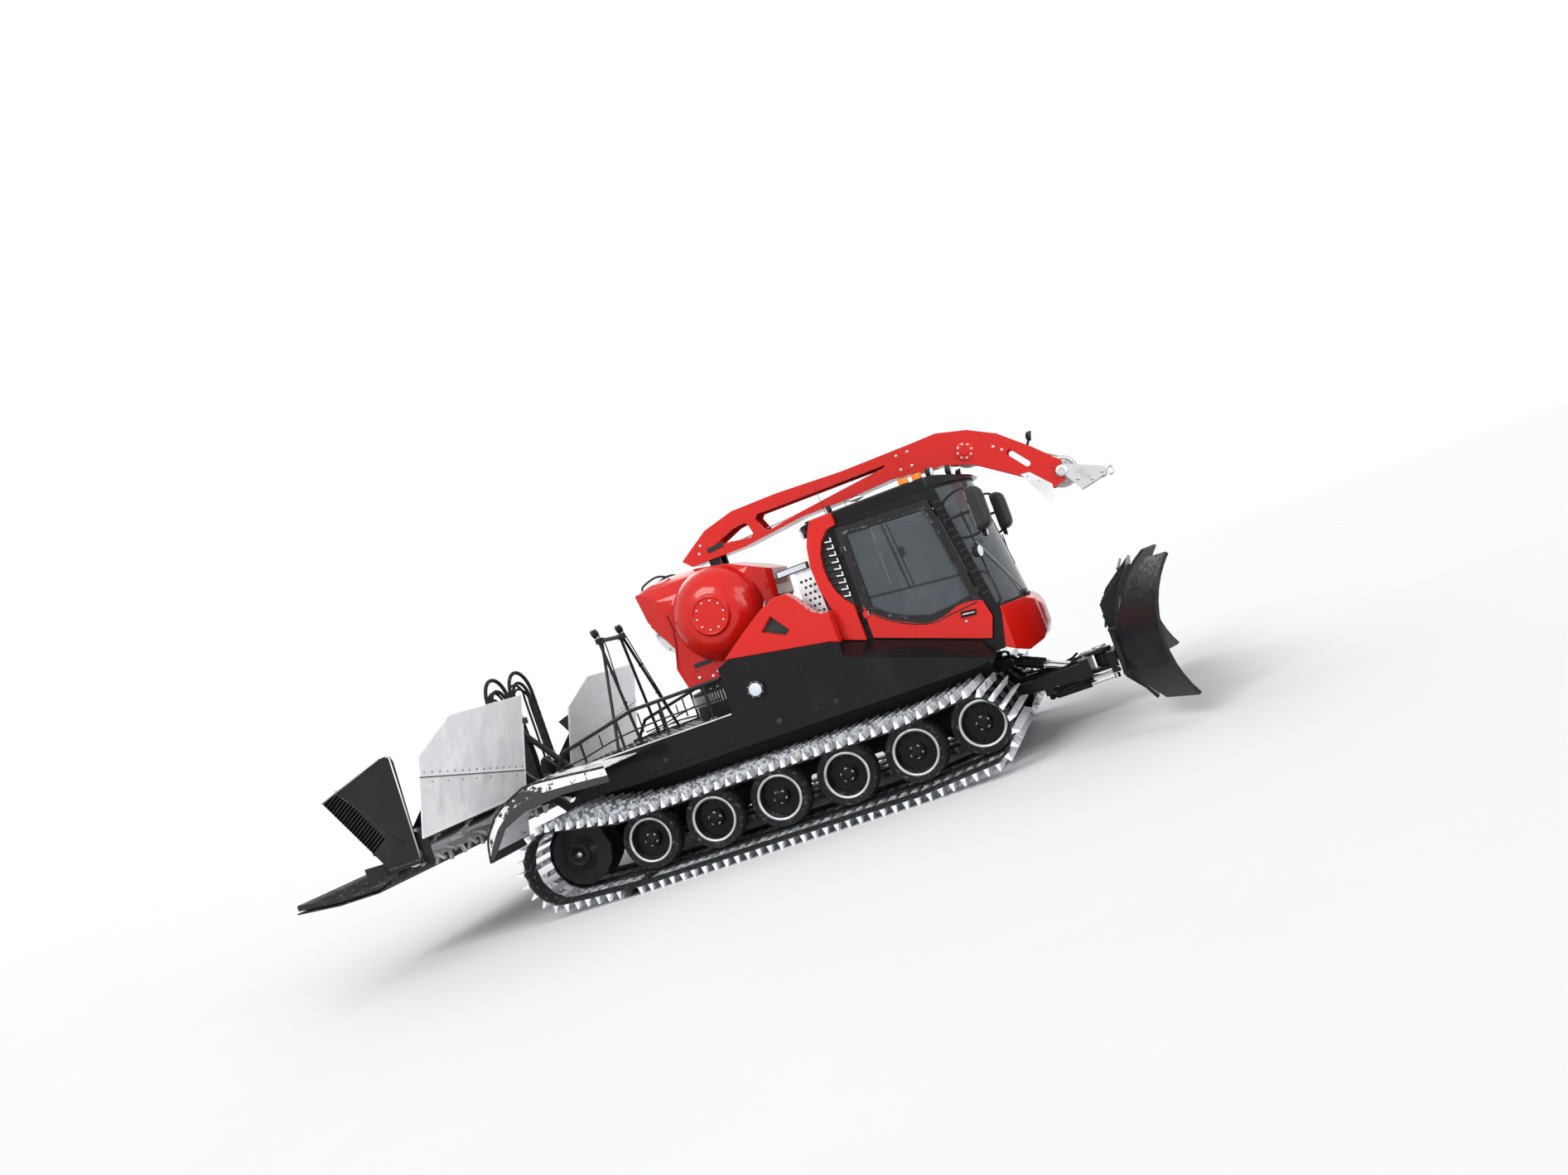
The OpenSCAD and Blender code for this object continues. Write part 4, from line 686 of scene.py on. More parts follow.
def body_trim():
    """Edge strips, panels with their corner bolts, and round latches on the side bodies."""
    trim = Part("body_trim", "vehicle", galvanised, black_paint, frame_paint, dark_plastic)
    proud = BODY_SIDE + 0.006
    trim.block((-0.18, BODY_SIDE, DECK_Z + 0.002), (1.86, proud, DECK_Z + 0.016), galvanised)
    for x0, x1, z0, z1 in ((0.25, 1.80, 0.985, 1.235), (1.92, 2.62, 1.02, 1.30), (2.66, 3.09, 1.02, 1.52)):
        trim.block((x0, BODY_SIDE, z0), (x1, proud, z1), black_paint)
        for x in (x0 + 0.03, x1 - 0.03):
            for z in (z0 + 0.03, z1 - 0.03):
                trim.bolt((x, proud, z), ACROSS, 0.009, frame_paint)
    latch = [(0.03, 0), (0.03, 0.006), (0.022, 0.012), (0, 0.012)]
    for x in (1.05, 2.3, 2.9):
        trim.turned((x, proud, 1.06), ACROSS, latch, dark_plastic, 20)
    trim.mirrored().done(0.003)


def deck_plate():
    """Raised tread on the rear deck, left out under the winch."""
    plate = Part("deck_tread", "vehicle", frame_paint)
    z = DECK_Z + 0.0005
    for i in range(24):
        for j in range(13):
            x, y = -0.16 + 0.075 * i, -1.02 + 0.17 * j
            if math.hypot(x - SLEW_X, y) > 0.56 and x < 1.75:
                slant = 0.02 if (i + j) % 2 else -0.02
                plate.rod((x - 0.02, y - slant, z), (x + 0.02, y + slant, z), 0.004, frame_paint, 4)
    plate.done()


def rounded(half_width, half_height, r, steps=6):
    """A rectangle with round corners about the origin."""
    outline = []
    for k, (sx, sy) in enumerate(((1, 1), (-1, 1), (-1, -1), (1, -1))):
        for i in range(steps + 1):
            a = math.pi / 2 * (k + i / steps)
            x, y = sx * (half_width - r), sy * (half_height - r)
            outline.append((x + r * math.cos(a), y + r * math.sin(a)))
    return outline


def lamp(part, place, axis, r, shell):
    """A round work lamp: housing, domed lens and three cooling ribs."""
    housing = [(0, -1.1), (0.45, -1.1), (0.8, -0.7), (1, -0.25), (1, 0.06), (0.9, 0.06)]
    part.turned(place, axis, scaled(housing, r), shell, 28)
    part.turned(place, axis, scaled([(0.9, 0.02), (0.84, 0.10), (0.5, 0.2), (0, 0.24)], r), lamp_white, 28)
    for k in (-0.95, -0.8, -0.65):
        rib = [(0.5, k), (0.86, k), (0.86, k + 0.06), (0.5, k + 0.06)]
        part.turned(place, axis, scaled(rib, r), shell, 20)


def rail_trim():
    """Foot bolts and collars, side wires, mast lamps, and their cables in clips."""
    trim = Part("rail_trim", "vehicle", frame_paint, galvanised, lamp_white, hose_rubber)
    foot = DECK_Z + 0.024
    for x in (-0.15, 0.2, 0.65, 1.15, 1.65):
        for dx in (-0.02, 0.02):
            for dy in (-0.02, 0.02):
                trim.bolt((x + dx, RAIL_Y + dy, foot), UP, 0.007, galvanised)
        trim.turned((x, RAIL_Y, foot), UP, [(0.024, 0), (0.022, 0.014), (0.015, 0.018)], frame_paint, 16)
    wire = [(-0.05, 1.33), (0.20, 1.35), (0.65, 1.43), (1.15, 1.46), (1.8, 1.46)]
    trim.hose([(x, RAIL_Y + 0.024, z) for x, z in wire], 0.009, frame_paint)
    for x, top in ((0.425, 1.52), (0.9, 1.60), (1.4, 1.60)):
        trim.rod((x, RAIL_Y, 1.40), (x, RAIL_Y, top), 0.008, frame_paint)
    trim.rod((0.415, 0.35, 2.48), (0.415, 0.35, 2.53), 0.012, galvanised)
    lamp(trim, (0.38, 0.35, 2.545), (-1, 0, -0.25), 0.052, frame_paint)
    cable = [
        (0.43, 0.35, 2.52), (0.47, 0.33, 2.40), (0.50, 0.42, 2.10), (0.54, 0.52, 1.75), (0.6, 0.58, 1.33),
    ]
    trim.hose(cable, 0.007, hose_rubber)
    clip = [(0.018, 0), (0.024, 0.004), (0.024, 0.02), (0.018, 0.024)]
    for y, z in ((0.415, 2.1), (0.49, 1.75), (0.555, 1.45)):
        trim.turned((0.415 + 0.185 * (2.46 - z) / 1.18, y, z), (0.15, 0.2, -1), clip, hose_rubber, 14)
    trim.mirrored().done()


def guard_trim():
    """Rolled outer edge, bolts, crown ribs and pale tip of the guards over the tracks."""
    trim = Part("guard_trim", "vehicle", flap_rubber, galvanised, worn_guard)
    side = span("fenders")[1].y
    crown = [(0.78, 1.235), (0.04, 1.305), (-0.18, 1.262), (-0.42, 1.15), (-0.60, 0.95), (-0.66, 0.72)]
    trim.hose([(x, side + 0.002, z + 0.004) for x, z in crown], 0.011, flap_rubber, steps=5)
    for x, z in crown[:-2]:
        trim.bolt((x - 0.04, side - 0.001, z - 0.045), ACROSS, 0.009, galvanised)
    for y in (1.42, 1.68, 1.94):
        trim.hose([(x, y, z + 0.009) for x, z in crown[1:-1]], 0.012, worn_guard, 6, 5)
    x, z = crown[-1]
    trim.tube([(x, 1.29, z + 0.004), (x, side - 0.01, z + 0.004)], 0.010, galvanised)
    trim.mirrored().done()


def door_trim(side, body):
    """Window rubber, sliding pane, handle, lock, hinges and crease of one door."""
    trim = Part(f"{body}_trim", body, dark_plastic, machined, flap_rubber, black_paint)
    y = DOOR_FACE
    window = [
        (3.47, 1.79), (3.60, 1.68), (3.78, 1.58), (3.99, 1.515), (4.20, 1.53), (4.445, 1.565),
        (4.30, 2.52), (3.47, 2.57),
    ]
    trim.rim(inset(window, -0.012), 0.026, y - 0.002, y + 0.005, flap_rubber)
    trim.rim(inset(window, 0.006), 0.016, y - 0.03, y - 0.006, dark_plastic)
    # Bar across the window, and the sliding pane's upright bar, seal and grip
    trim.bar((3.475, y - 0.02, 1.895), (4.39, y - 0.02, 1.80), 0.016, 0.012, dark_plastic)
    trim.bar((3.90, y - 0.02, 1.85), (3.845, y - 0.02, 2.54), 0.016, 0.012, dark_plastic)
    trim.bar((3.95, y - 0.024, 1.85), (3.895, y - 0.024, 2.54), 0.010, 0.010, dark_plastic)
    trim.block((3.93, y - 0.012, 2.16), (3.965, y + 0.002, 2.25), dark_plastic)
    # Handle over its pocket, and the lock
    trim.sheet([(4.27, 1.405), (4.42, 1.39), (4.43, 1.445), (4.28, 1.465)], y, y + 0.006, black_paint)
    grip = [(4.29, 0.004, 1.432), (4.305, 0.032, 1.432), (4.39, 0.034, 1.422), (4.41, 0.004, 1.42)]
    trim.hose([(x, y + dy, z) for x, dy, z in grip], 0.009, machined)
    lock = [(0.014, 0), (0.014, 0.004), (0.005, 0.006), (0, 0.006)]
    trim.turned((4.30, y, 1.36), ACROSS, lock, machined, 16)
    for z in (1.75, 2.42):
        leaf = [(3.405, z - 0.028), (3.455, z - 0.022), (3.455, z + 0.022), (3.405, z + 0.028)]
        trim.sheet(leaf, y, y + 0.007, black_paint)
        for dz in (-0.012, 0.012):
            trim.bolt((3.435, y + 0.007, z + dz), ACROSS, 0.006, machined)
    # Crease along the upper edge of the red panel
    crease = [(3.42, 1.80), (3.54, 1.665), (3.76, 1.53), (3.99, 1.455), (4.20, 1.475), (4.46, 1.50)]
    trim.hose([(x, y, z) for x, z in crease], 0.006, flap_rubber, steps=5)
    if side < 0:
        trim.flip()
    trim.done()


def cab_trim():
    """Seals and wipers of the windscreen, roof lamps, rails, aerials and receiver, and pillar stalks."""
    looks = (dark_plastic, machined, lamp_white, white_plastic, flap_rubber, black_paint)
    trim = Part("cab_trim", "vehicle", *looks)

    def screen(y, z, r):
        """A place on a cylinder of radius r about the windscreen's axis."""
        return (3.51 - 0.1228 * (z - 1.1) + math.sqrt(r * r - y * y), y, z)

    for z in (1.40, 2.68):
        trim.tube([screen(0.88 - 0.088 * k, z, 1.396) for k in range(21)], 0.014, flap_rubber)
    for y in both(0.875):
        trim.tube([screen(y, 1.40 + 0.16 * k, 1.394) for k in range(9)], 0.016, flap_rubber)
    for y in (0.62, -0.30):
        pivot, end = screen(y, 1.43, 1.43), screen(y - 0.42, 2.05, 1.425)
        trim.turned(pivot, (1, 0, 0), [(0.03, -0.05), (0.03, 0.01), (0, 0.014)], dark_plastic, 16)
        trim.tube([pivot, end], 0.007, machined)
        blade = [screen(y - 0.42 + 0.02 * k / 3, 1.72 + 0.11 * k, 1.402) for k in range(7)]
        trim.tube(blade, 0.008, flap_rubber)
    for s in (1, -1):
        lamp(trim, (4.46, s * 0.80, 2.83), (1, 0.25 * s, -0.15), 0.052, dark_plastic)
        trim.rod((4.44, s * 0.80, 2.78), (4.44, s * 0.80, 2.80), 0.018, dark_plastic)
        lamp(trim, (4.60, s * 0.42, 2.815), (1, 0, -0.15), 0.052, dark_plastic)
        trim.rod((4.58, s * 0.42, 2.745), (4.58, s * 0.42, 2.79), 0.018, dark_plastic)
        lamp(trim, (3.36, s * 0.82, 2.845), (-1, 0.3 * s, -0.25), 0.045, dark_plastic)
        trim.rod((3.37, s * 0.82, 2.80), (3.37, s * 0.82, 2.83), 0.014, dark_plastic)
        # Roof rail on its feet
        y = s * 0.86
        rail = [(3.12, 0.004), (3.6, 0.008), (4.2, 0.006)]
        trim.tube([(x, y, ROOF_TOP + dz) for x, dz in rail], 0.009, dark_plastic)
        for x in (3.2, 3.65, 4.12):
            trim.turned((x, y, ROOF_TOP), UP, [(0.018, 0), (0.014, 0.01)], dark_plastic, 12)
        # Aerial with its foot
        foot = Vector((3.3, s * 0.60, ROOF_TOP))
        trim.rod(foot, foot + Vector((-0.02, 0, 0.34)), 0.004, flap_rubber, 8, 0.002)
        trim.turned(foot, UP, [(0.022, 0), (0.018, 0.02), (0.006, 0.03), (0, 0.03)], dark_plastic, 16)
        # Lamp on its arm, and the bent stalk below it
        trim.bar((4.50, s * CAB_SIDE, 1.95), (4.62, s, 1.95), 0.02, 0.014, dark_plastic)
        lamp(trim, (4.66, s, 1.95), (1, 0.35 * s, -0.1), 0.062, dark_plastic)
        stalk = [(4.615, CAB_SIDE, 1.42), (4.68, 0.99, 1.46), (4.66, 0.995, 1.70), (4.565, CAB_SIDE, 1.78)]
        trim.hose([(x, s * y, z) for x, y, z in stalk], 0.012, dark_plastic)
        # Ribs on the front pillar
        for k in range(14):
            z = 1.55 + 0.075 * k
            x = 4.64 - 0.147 * (z - 1.33)
            rib = [(x - 0.075, z), (x - 0.006, z + 0.004), (x - 0.006, z + 0.018), (x - 0.075, z + 0.014)]
            trim.sheet(rib, s * CAB_SIDE, s * (CAB_SIDE + 0.01), dark_plastic)
    # Position receiver on its post
    receiver = [
        (0.03, 0), (0.026, 0.01), (0.014, 0.014), (0.014, 0.035), (0.035, 0.04), (0.08, 0.052),
        (0.075, 0.062), (0.03, 0.078), (0, 0.08),
    ]
    trim.turned((3.66, -0.72, ROOF_TOP), UP, receiver, white_plastic, 32)
    trim.done(0.0015)


def mirror_trim():
    """Rounded housings of the mirrors with their panes, bent arms, arm feet and lamps."""
    trim = Part("mirror_trim", "vehicle", dark_plastic, plated, lamp_white)
    low, high = span("mirrors")
    middle = Vector((high.x - 0.05, high.y - 0.11, (low.z + high.z) / 2))

    def ring(dx, half_width, half_height, r, dz=0.0):
        return [middle + Vector((dx, a, b + dz)) for a, b in rounded(half_width, half_height, r)]

    # Housing: from the rim round the panes to the bulging front
    layers = [
        (-0.030, 1.0, 0.99), (-0.018, 1.06, 1.02), (0.045, 1.06, 1.02),
        (0.085, 0.92, 0.93), (0.11, 0.66, 0.76), (0.118, 0.30, 0.5),
    ]
    trim.loft([ring(dx, 0.135 * wide, 0.205 * tall, 0.06 * wide) for dx, wide, tall in layers], dark_plastic)
    for dz, half_height in ((-0.055, 0.12), (0.130, 0.05)):
        trim.loft([ring(dx, 0.115, half_height, 0.025, dz) for dx in (-0.034, -0.029)], plated)
    top, foot = middle.z + 0.17, middle.z - 0.19
    arms = [
        [(4.47, 0.93, top), (4.56, 1.02, top + 0.04), (4.70, 1.10, top + 0.06), (4.79, 1.14, top + 0.01)],
        [(4.50, 0.93, foot), (4.58, 1.02, foot - 0.03), (4.72, 1.10, foot - 0.03), (4.79, 1.14, foot + 0.02)],
    ]
    for arm in arms:
        trim.hose(arm, 0.013, dark_plastic)
        trim.turned(arm[0], ACROSS, [(0.028, 0), (0.026, 0.012), (0.015, 0.018)], dark_plastic, 16)
    lamp(trim, (4.79, 1.08, foot - 0.05), (1, 0, -0.1), 0.04, dark_plastic)
    trim.mirrored().done(0.001)


def pillar_trim():
    """Rear lamps, light bars on punched plates, dark intake floors as painted shade, and bright louvre ends as
    painted highlight, of the red pillars.
    """
    trim = Part("pillar_trim", "vehicle", dark_plastic, galvanised, lamp_white, red_paint)
    trim.bar((3.10, 0.96, 2.66), (3.17, 0.975, 2.64), 0.02, 0.02, dark_plastic)
    # Light bar on a punched plate that stands on the engine cover
    trim.block((2.66, 0.80, 2.375), (3.00, 0.87, 2.445), dark_plastic)
    trim.block((2.675, 0.868, 2.385), (2.985, 0.876, 2.435), lamp_white)
    trim.sheet([(2.80, 1.64), (3.04, 1.64), (3.02, 2.37), (2.84, 2.37)], 0.826, 0.834, galvanised)
    for i in range(3):
        for k in range(9):
            place = (2.875 + 0.05 * i + 0.025 * (k % 2), 0.8335, 1.74 + 0.066 * k)
            trim.turned(place, ACROSS, [(0.015, 0), (0.015, 0.002), (0, 0.002)], dark_plastic, 14)
    # Dark sheet on the floor of the fairing's intake, behind its bars: painted shade of the recess
    trim.sheet([(2.428, 1.932), (2.640, 1.826), (2.693, 1.860), (2.560, 2.040)], 1.1802, 1.184, dark_plastic)
    # Bright ends of the louvres, each with its upturned lip: painted highlight along the louvre edges
    end = [(3.262, -0.010), (3.334, -0.0225), (3.334, 0.022), (3.322, 0.024), (3.322, -0.008), (3.262, 0.004)]
    for k in range(1, 10):
        trim.sheet([(x, 1.92 + 0.07 * k + dz) for x, dz in end], 0.9695, 0.9745, galvanised)
    trim.mirrored()
    for s in (1, -1):
        lamp(trim, (3.08, s * 0.985, 2.70), (-1, 0.5 * s, -0.2), 0.05, dark_plastic)
    trim.done(0.001)


def lamp_trim():
    """Bezels, lenses and bolts of the side work lamps, and the feet and caps of the beacons."""
    trim = Part("lamp_trim", "vehicle", dark_plastic, lamp_white, machined)
    place = Vector((2.19, 1.30, 1.43))
    bezel = [(0.085, -0.046), (0.085, 0.0), (0.075, 0.008), (0.064, 0.002)]
    trim.turned(place, ACROSS, bezel, dark_plastic, 36)
    trim.turned(place, ACROSS, [(0.066, 0.0005), (0.045, 0.012), (0, 0.018)], lamp_white, 36)
    trim.bolt_ring(place + 0.007 * ACROSS, ACROSS, 0.077, 8, 0.004, machined, 0.2)
    foot = [(0.064, 0), (0.064, 0.012), (0.054, 0.018), (0.0505, 0.018)]
    cap = [(0.05, 0), (0.04, 0.008), (0.02, 0.012), (0, 0.012)]
    for x, y in ((4.17, 0.80), (4.30, 0.74)):
        trim.turned((x, y, ROOF_TOP), UP, foot, dark_plastic, 28)
        trim.turned((x, y, ROOF_TOP + 0.0725), UP, cap, dark_plastic, 28)
    trim.mirrored().done()


def winch_trim():
    """Rimmed disc, seam, catches, handles and slotted box of the winch cover, and the rim of its mouth."""
    trim = Part("winch_trim", "winch", red_paint, galvanised, dark_plastic, flap_rubber)
    disc = Vector((1.83, 0.745, 2.285))
    rim = [(0.207, -0.004), (0.207, 0.006), (0.198, 0.013), (0.184, 0.013), (0.178, 0.004), (0.178, 0.0)]
    trim.turned(disc, ACROSS, rim, red_paint, 56)
    trim.bolt_ring(disc, ACROSS, 0.15, 10, 0.008, galvanised)
    # Seam of the cover's removable side and its turn catches
    seam = [(1.20, 0.446, 1.90), (1.265, 0.452, 2.10), (1.30, 0.452, 2.30), (1.28, 0.452, 2.46)]
    trim.tube(seam, 0.004, flap_rubber)
    catch = [(0.018, -0.004), (0.018, 0.004), (0.012, 0.007), (0, 0.007)]
    for x, z in ((1.40, 1.72), (1.62, 1.72), (1.55, 1.69)):
        trim.turned((x, 0.46, z), ACROSS, catch, galvanised, 18)
    # Loop handle at the front edge
    handle = [(2.25, 0.40, 2.06), (2.29, 0.455, 2.10), (2.32, 0.455, 2.19), (2.34, 0.40, 2.24)]
    trim.hose(handle, 0.011, galvanised)
    # Rim along the side of the mouth in the rear flank
    flank = [(1.047, 0.345, 2.40), (1.13, 0.349, 2.26), (1.225, 0.351, 2.10), (1.215, 0.351, 2.03)]
    trim.hose(flank, 0.012, red_paint)
    # Slotted box in the skirt
    trim.sheet([(1.34, 1.80), (1.62, 1.80), (1.64, 1.90), (1.36, 1.90)], 0.455, 0.466, red_paint)
    trim.sheet([(1.38, 1.825), (1.59, 1.825), (1.605, 1.875), (1.395, 1.875)], 0.466, 0.469, dark_plastic)
    # Grab rail on the rear top
    grab = [(1.02, 0.20, 2.795), (1.05, 0.20, 2.85), (1.22, 0.20, 2.895), (1.36, 0.20, 2.85)]
    trim.hose(grab, 0.012, dark_plastic)
    trim.mirrored()
    # Rim along the top and the foot of the mouth
    for x, z in ((1.045, 2.405), (1.214, 2.02)):
        trim.tube([(x, -0.35, z), (x, 0.35, z)], 0.012, red_paint)
    trim.done()


def winch_ring():
    """Bolt circle and toothed ring of the slewing bearing."""
    ring = Part("winch_ring", "vehicle", machined, frame_paint)
    ring.bolt_ring((SLEW_X, 0, 1.57), UP, 0.475, 32, 0.012, machined)
    foot = Vector((SLEW_X, 0, 1.42))
    # Each corner of a tooth: radius, part of a pitch, and what it leans beyond that
    tooth = ((0.518, 0, 0), (0.518, 0.5, 0), (0.538, 0.5, -0.01), (0.538, 0, 0.01))
    for k in range(96):
        low = [foot + r * spoke(2 * math.pi * (k + part) / 96 + lean, ACROSS) for r, part, lean in tooth]
        ring.faces([*low, *(p + 0.11 * UP for p in low)], prism_loops(4), machined)
    ring.done()


def drum_rope():
    """The wound rope, as rows side by side between the drum's flanges, and the flanges' bolts."""
    rope = Part("drum_rope", "drum", rope_look, machined)
    rows, half = 36, 0.302
    pitch = 2 * half / rows
    profile = [(0.221, -half)]
    for k in range(rows):
        y = -half + pitch * k
        profile += [(0.236, y + 0.15 * pitch), (0.2435, y + 0.5 * pitch), (0.236, y + 0.85 * pitch)]
    rope.turned(DRUM, ACROSS, [*profile, (0.221, half)], rope_look, 56)
    for side in (-ACROSS, ACROSS):
        rope.bolt_ring(DRUM + 0.3305 * side, side, 0.26, 8, 0.010, machined)
    rope.done()


def boom_trim():
    """Hubs, bolts, plates, edge lips, hoses, rope and lamp of the boom."""
    looks = (red_paint, machined, dark_plastic, lamp_white, white_plastic, hose_rubber)
    trim = Part("boom_trim", "winch", *looks)
    half = 0.17
    hub = [(0.095, -0.002), (0.095, 0.012), (0.085, 0.018), (0.045, 0.018), (0.04, 0.03), (0, 0.03)]
    bolts = [
        (1.76, 2.96), (1.80, 3.04), (4.10, 3.17), (4.22, 3.17), (4.10, 3.02), (4.22, 3.02),
        (5.05, 2.90), (5.12, 2.84),
    ]
    for s in (-1, 1):
        side = s * ACROSS
        trim.turned(BEND + half * side, side, hub, red_paint, 36)
        trim.bolt_ring(BEND + (half + 0.018) * side, side, 0.072, 8, 0.009, machined)
        for x, z in bolts:
            trim.bolt((x, s * half, z), side, 0.011, machined)
        # Blank plate near the foot, and the doubler plate beside the long slot
        blank = [(1.86, 2.93), (2.05, 2.945), (2.05, 3.0), (1.86, 2.985)]
        doubler = [(4.12, 2.985), (4.20, 2.985), (4.20, 3.205), (4.12, 3.205)]
        for plate, look in ((blank, dark_plastic), (doubler, red_paint)):
            trim.sheet(plate, s * half, s * (half + 0.006), look)
    # Welded lips along both upper edges
    lip = [
        (1.60, 2.985), (1.90, 3.178), (2.25, 3.268), (2.77, 3.271), (3.52, 3.233), (4.26, 3.236),
        (4.55, 3.241), (4.855, 3.159), (5.13, 3.012),
    ]
    for y in both(0.158):
        trim.tube([(x, y, z - 0.012) for x, z in lip], 0.011, red_paint, 6)
    # Hoses inside the boom, and the rope over its bend sheave
    for y, z in ((-0.05, 3.20), (0.0, 3.205), (0.05, 3.20)):
        line = [(1.80, 3.02), (2.2, z - 0.02), (2.9, z - 0.02), (3.6, z - 0.05), (4.45, z - 0.03)]
        trim.hose([(x, y, height) for x, height in line], 0.012, hose_rubber)
    rope = [
        (1.74, 2.93), (4.70, 3.098), (4.77, 3.105), (4.848, 3.083),
        (5.673, 2.552), (5.73, 2.49), (5.742, 2.42),
    ]
    trim.tube([(x, 0, z) for x, z in rope], 0.009, machined)
    # Lamp on its foot above the tip
    trim.rod((5.36, 0, 2.80), (5.40, 0, 2.86), 0.014, dark_plastic)
    trim.block((5.30, -0.03, 2.786), (5.37, 0.03, 2.80), dark_plastic)
    lamp(trim, (5.43, 0, 2.88), (1, 0, -0.35), 0.05, dark_plastic)
    # White hanging plate on the right side
    plate = [(5.21, 2.54), (5.30, 2.53), (5.47, 2.34), (5.44, 2.19), (5.39, 2.19)]
    trim.sheet(plate, -half - 0.016, -half - 0.006, white_plastic)
    for x, z in ((5.27, 2.50), (5.36, 2.42)):
        trim.bolt((x, -half - 0.016, z), -ACROSS, 0.008, machined)
    trim.done(0.002)


def tip_trim():
    """Spokes, bright rims and hubs of both sheaves, and bolts, rollers and hooks of the rope head."""
    for name, body, centre in (("tip_wheel", "boom_tip", TIP), ("bend_wheel", "boom_bend", BEND)):
        wheel = Part(name, body, galvanised, machined)
        for side in (-ACROSS, ACROSS):
            flank, middle = centre + 0.03 * side, centre + 0.031 * side
            for k in range(6):
                away = spoke(math.pi * k / 3)
                wheel.bar(middle + 0.045 * away, middle + 0.125 * away, 0.022, 0.010, galvanised)
            wheel.turned(flank, side, [(0.15, 0), (0.15, 0.006), (0.128, 0.008), (0.124, 0)], galvanised, 48)
            wheel.turned(flank, side, [(0.052, 0), (0.05, 0.014), (0.031, 0.016)], machined, 28)
        wheel.done()
    head = Part("head_trim", "rope_guide", galvanised, machined)
    roller = [(0.024, -0.02), (0.05, -0.018), (0.05, 0.018), (0.024, 0.02)]
    hook = [(5.99, 2.285), (6.04, 2.32), (6.07, 2.30), (6.06, 2.25), (6.02, 2.24)]
    cap = [(0.06, 0), (0.055, 0.012), (0.034, 0.014)]
    cheek = 0.19
    for s in (-1, 1):
        for x, z in ((5.96, 2.285), (5.85, 2.25), (5.72, 2.30)):
            head.bolt((x, s * cheek, z), s * ACROSS, 0.012, machined)
        head.turned(TIP + s * cheek * ACROSS, s * ACROSS, cap, galvanised, 28)
        head.turned((5.96, s * 0.06, 2.285), ACROSS, roller, machined, 28)
        head.hose([(x, s * 0.11, z) for x, z in hook], 0.011, galvanised)
    head.done()


def blade_trim():
    """Bolted cutting edges, top bead, hoses and carrier bolts of the blade."""
    trim = Part("blade_trim", "blade_body", machined, frame_paint, galvanised, hose_rubber)
    up, ahead = (-0.46, 0, 0.888), (0.888, 0, 0.46)
    for k in range(7):
        y = -1.74 + 0.4975 * k
        edge = [(y, 0), (y + 0.49, 0), (y + 0.49, 0.14), (y, 0.14)]
        trim.panel(edge, (5.747, 0, 0.222), ACROSS, up, -0.012, machined)
        for j in range(4):
            trim.bolt((5.714, y + 0.07 + 0.117 * j, 0.305), ahead, 0.012, galvanised)
    trim.tube([(5.8, -1.745, 1.372), (5.8, 1.745, 1.372)], 0.014, frame_paint)
    hose = [(5.52, 0.2625, 0.82), (5.50, 0.45, 0.95), (5.53, 0.75, 0.97), (5.53, 1.65, 0.93)]
    for s in (-1, 1):
        trim.hose([(x, s * y, z) for x, y, z in hose], 0.012, hose_rubber)
        for z in (0.47, 0.56, 0.66, 0.76):
            trim.bolt((5.51, s * 0.24, z), (-1, 0, 0), 0.012, galvanised)
    trim.done(0.002)


def front_trim():
    """Pin heads, hoses, bolts and the pivot's cap on the push frame."""
    trim = Part("front_trim", "push", machined, hose_rubber, galvanised)
    pin = [(0.055, 0), (0.05, 0.012), (0.03, 0.014), (0, 0.014)]
    hose = [
        (4.46, 0.30, 0.62), (4.60, 0.33, 0.60), (4.80, 0.33, 0.585), (5.0, 0.33, 0.60), (5.09, 0.30, 0.64),
    ]
    for s in (-1, 1):
        trim.turned((4.40, s * 0.461, 0.52), s * ACROSS, pin, machined, 24)
        trim.hose([(x, s * y, z) for x, y, z in hose], 0.012, hose_rubber)
        for y in (0.12, 0.34):
            trim.bolt((5.16, s * y, 0.615), UP, 0.011, galvanised)
    trim.turned((5.33, 0, 0.65), UP, [(0.075, 0), (0.075, 0.01), (0.055, 0.014), (0, 0.014)], machined, 32)
    trim.bolt_ring((5.33, 0, 0.66), UP, 0.062, 8, 0.007, galvanised)
    trim.done()


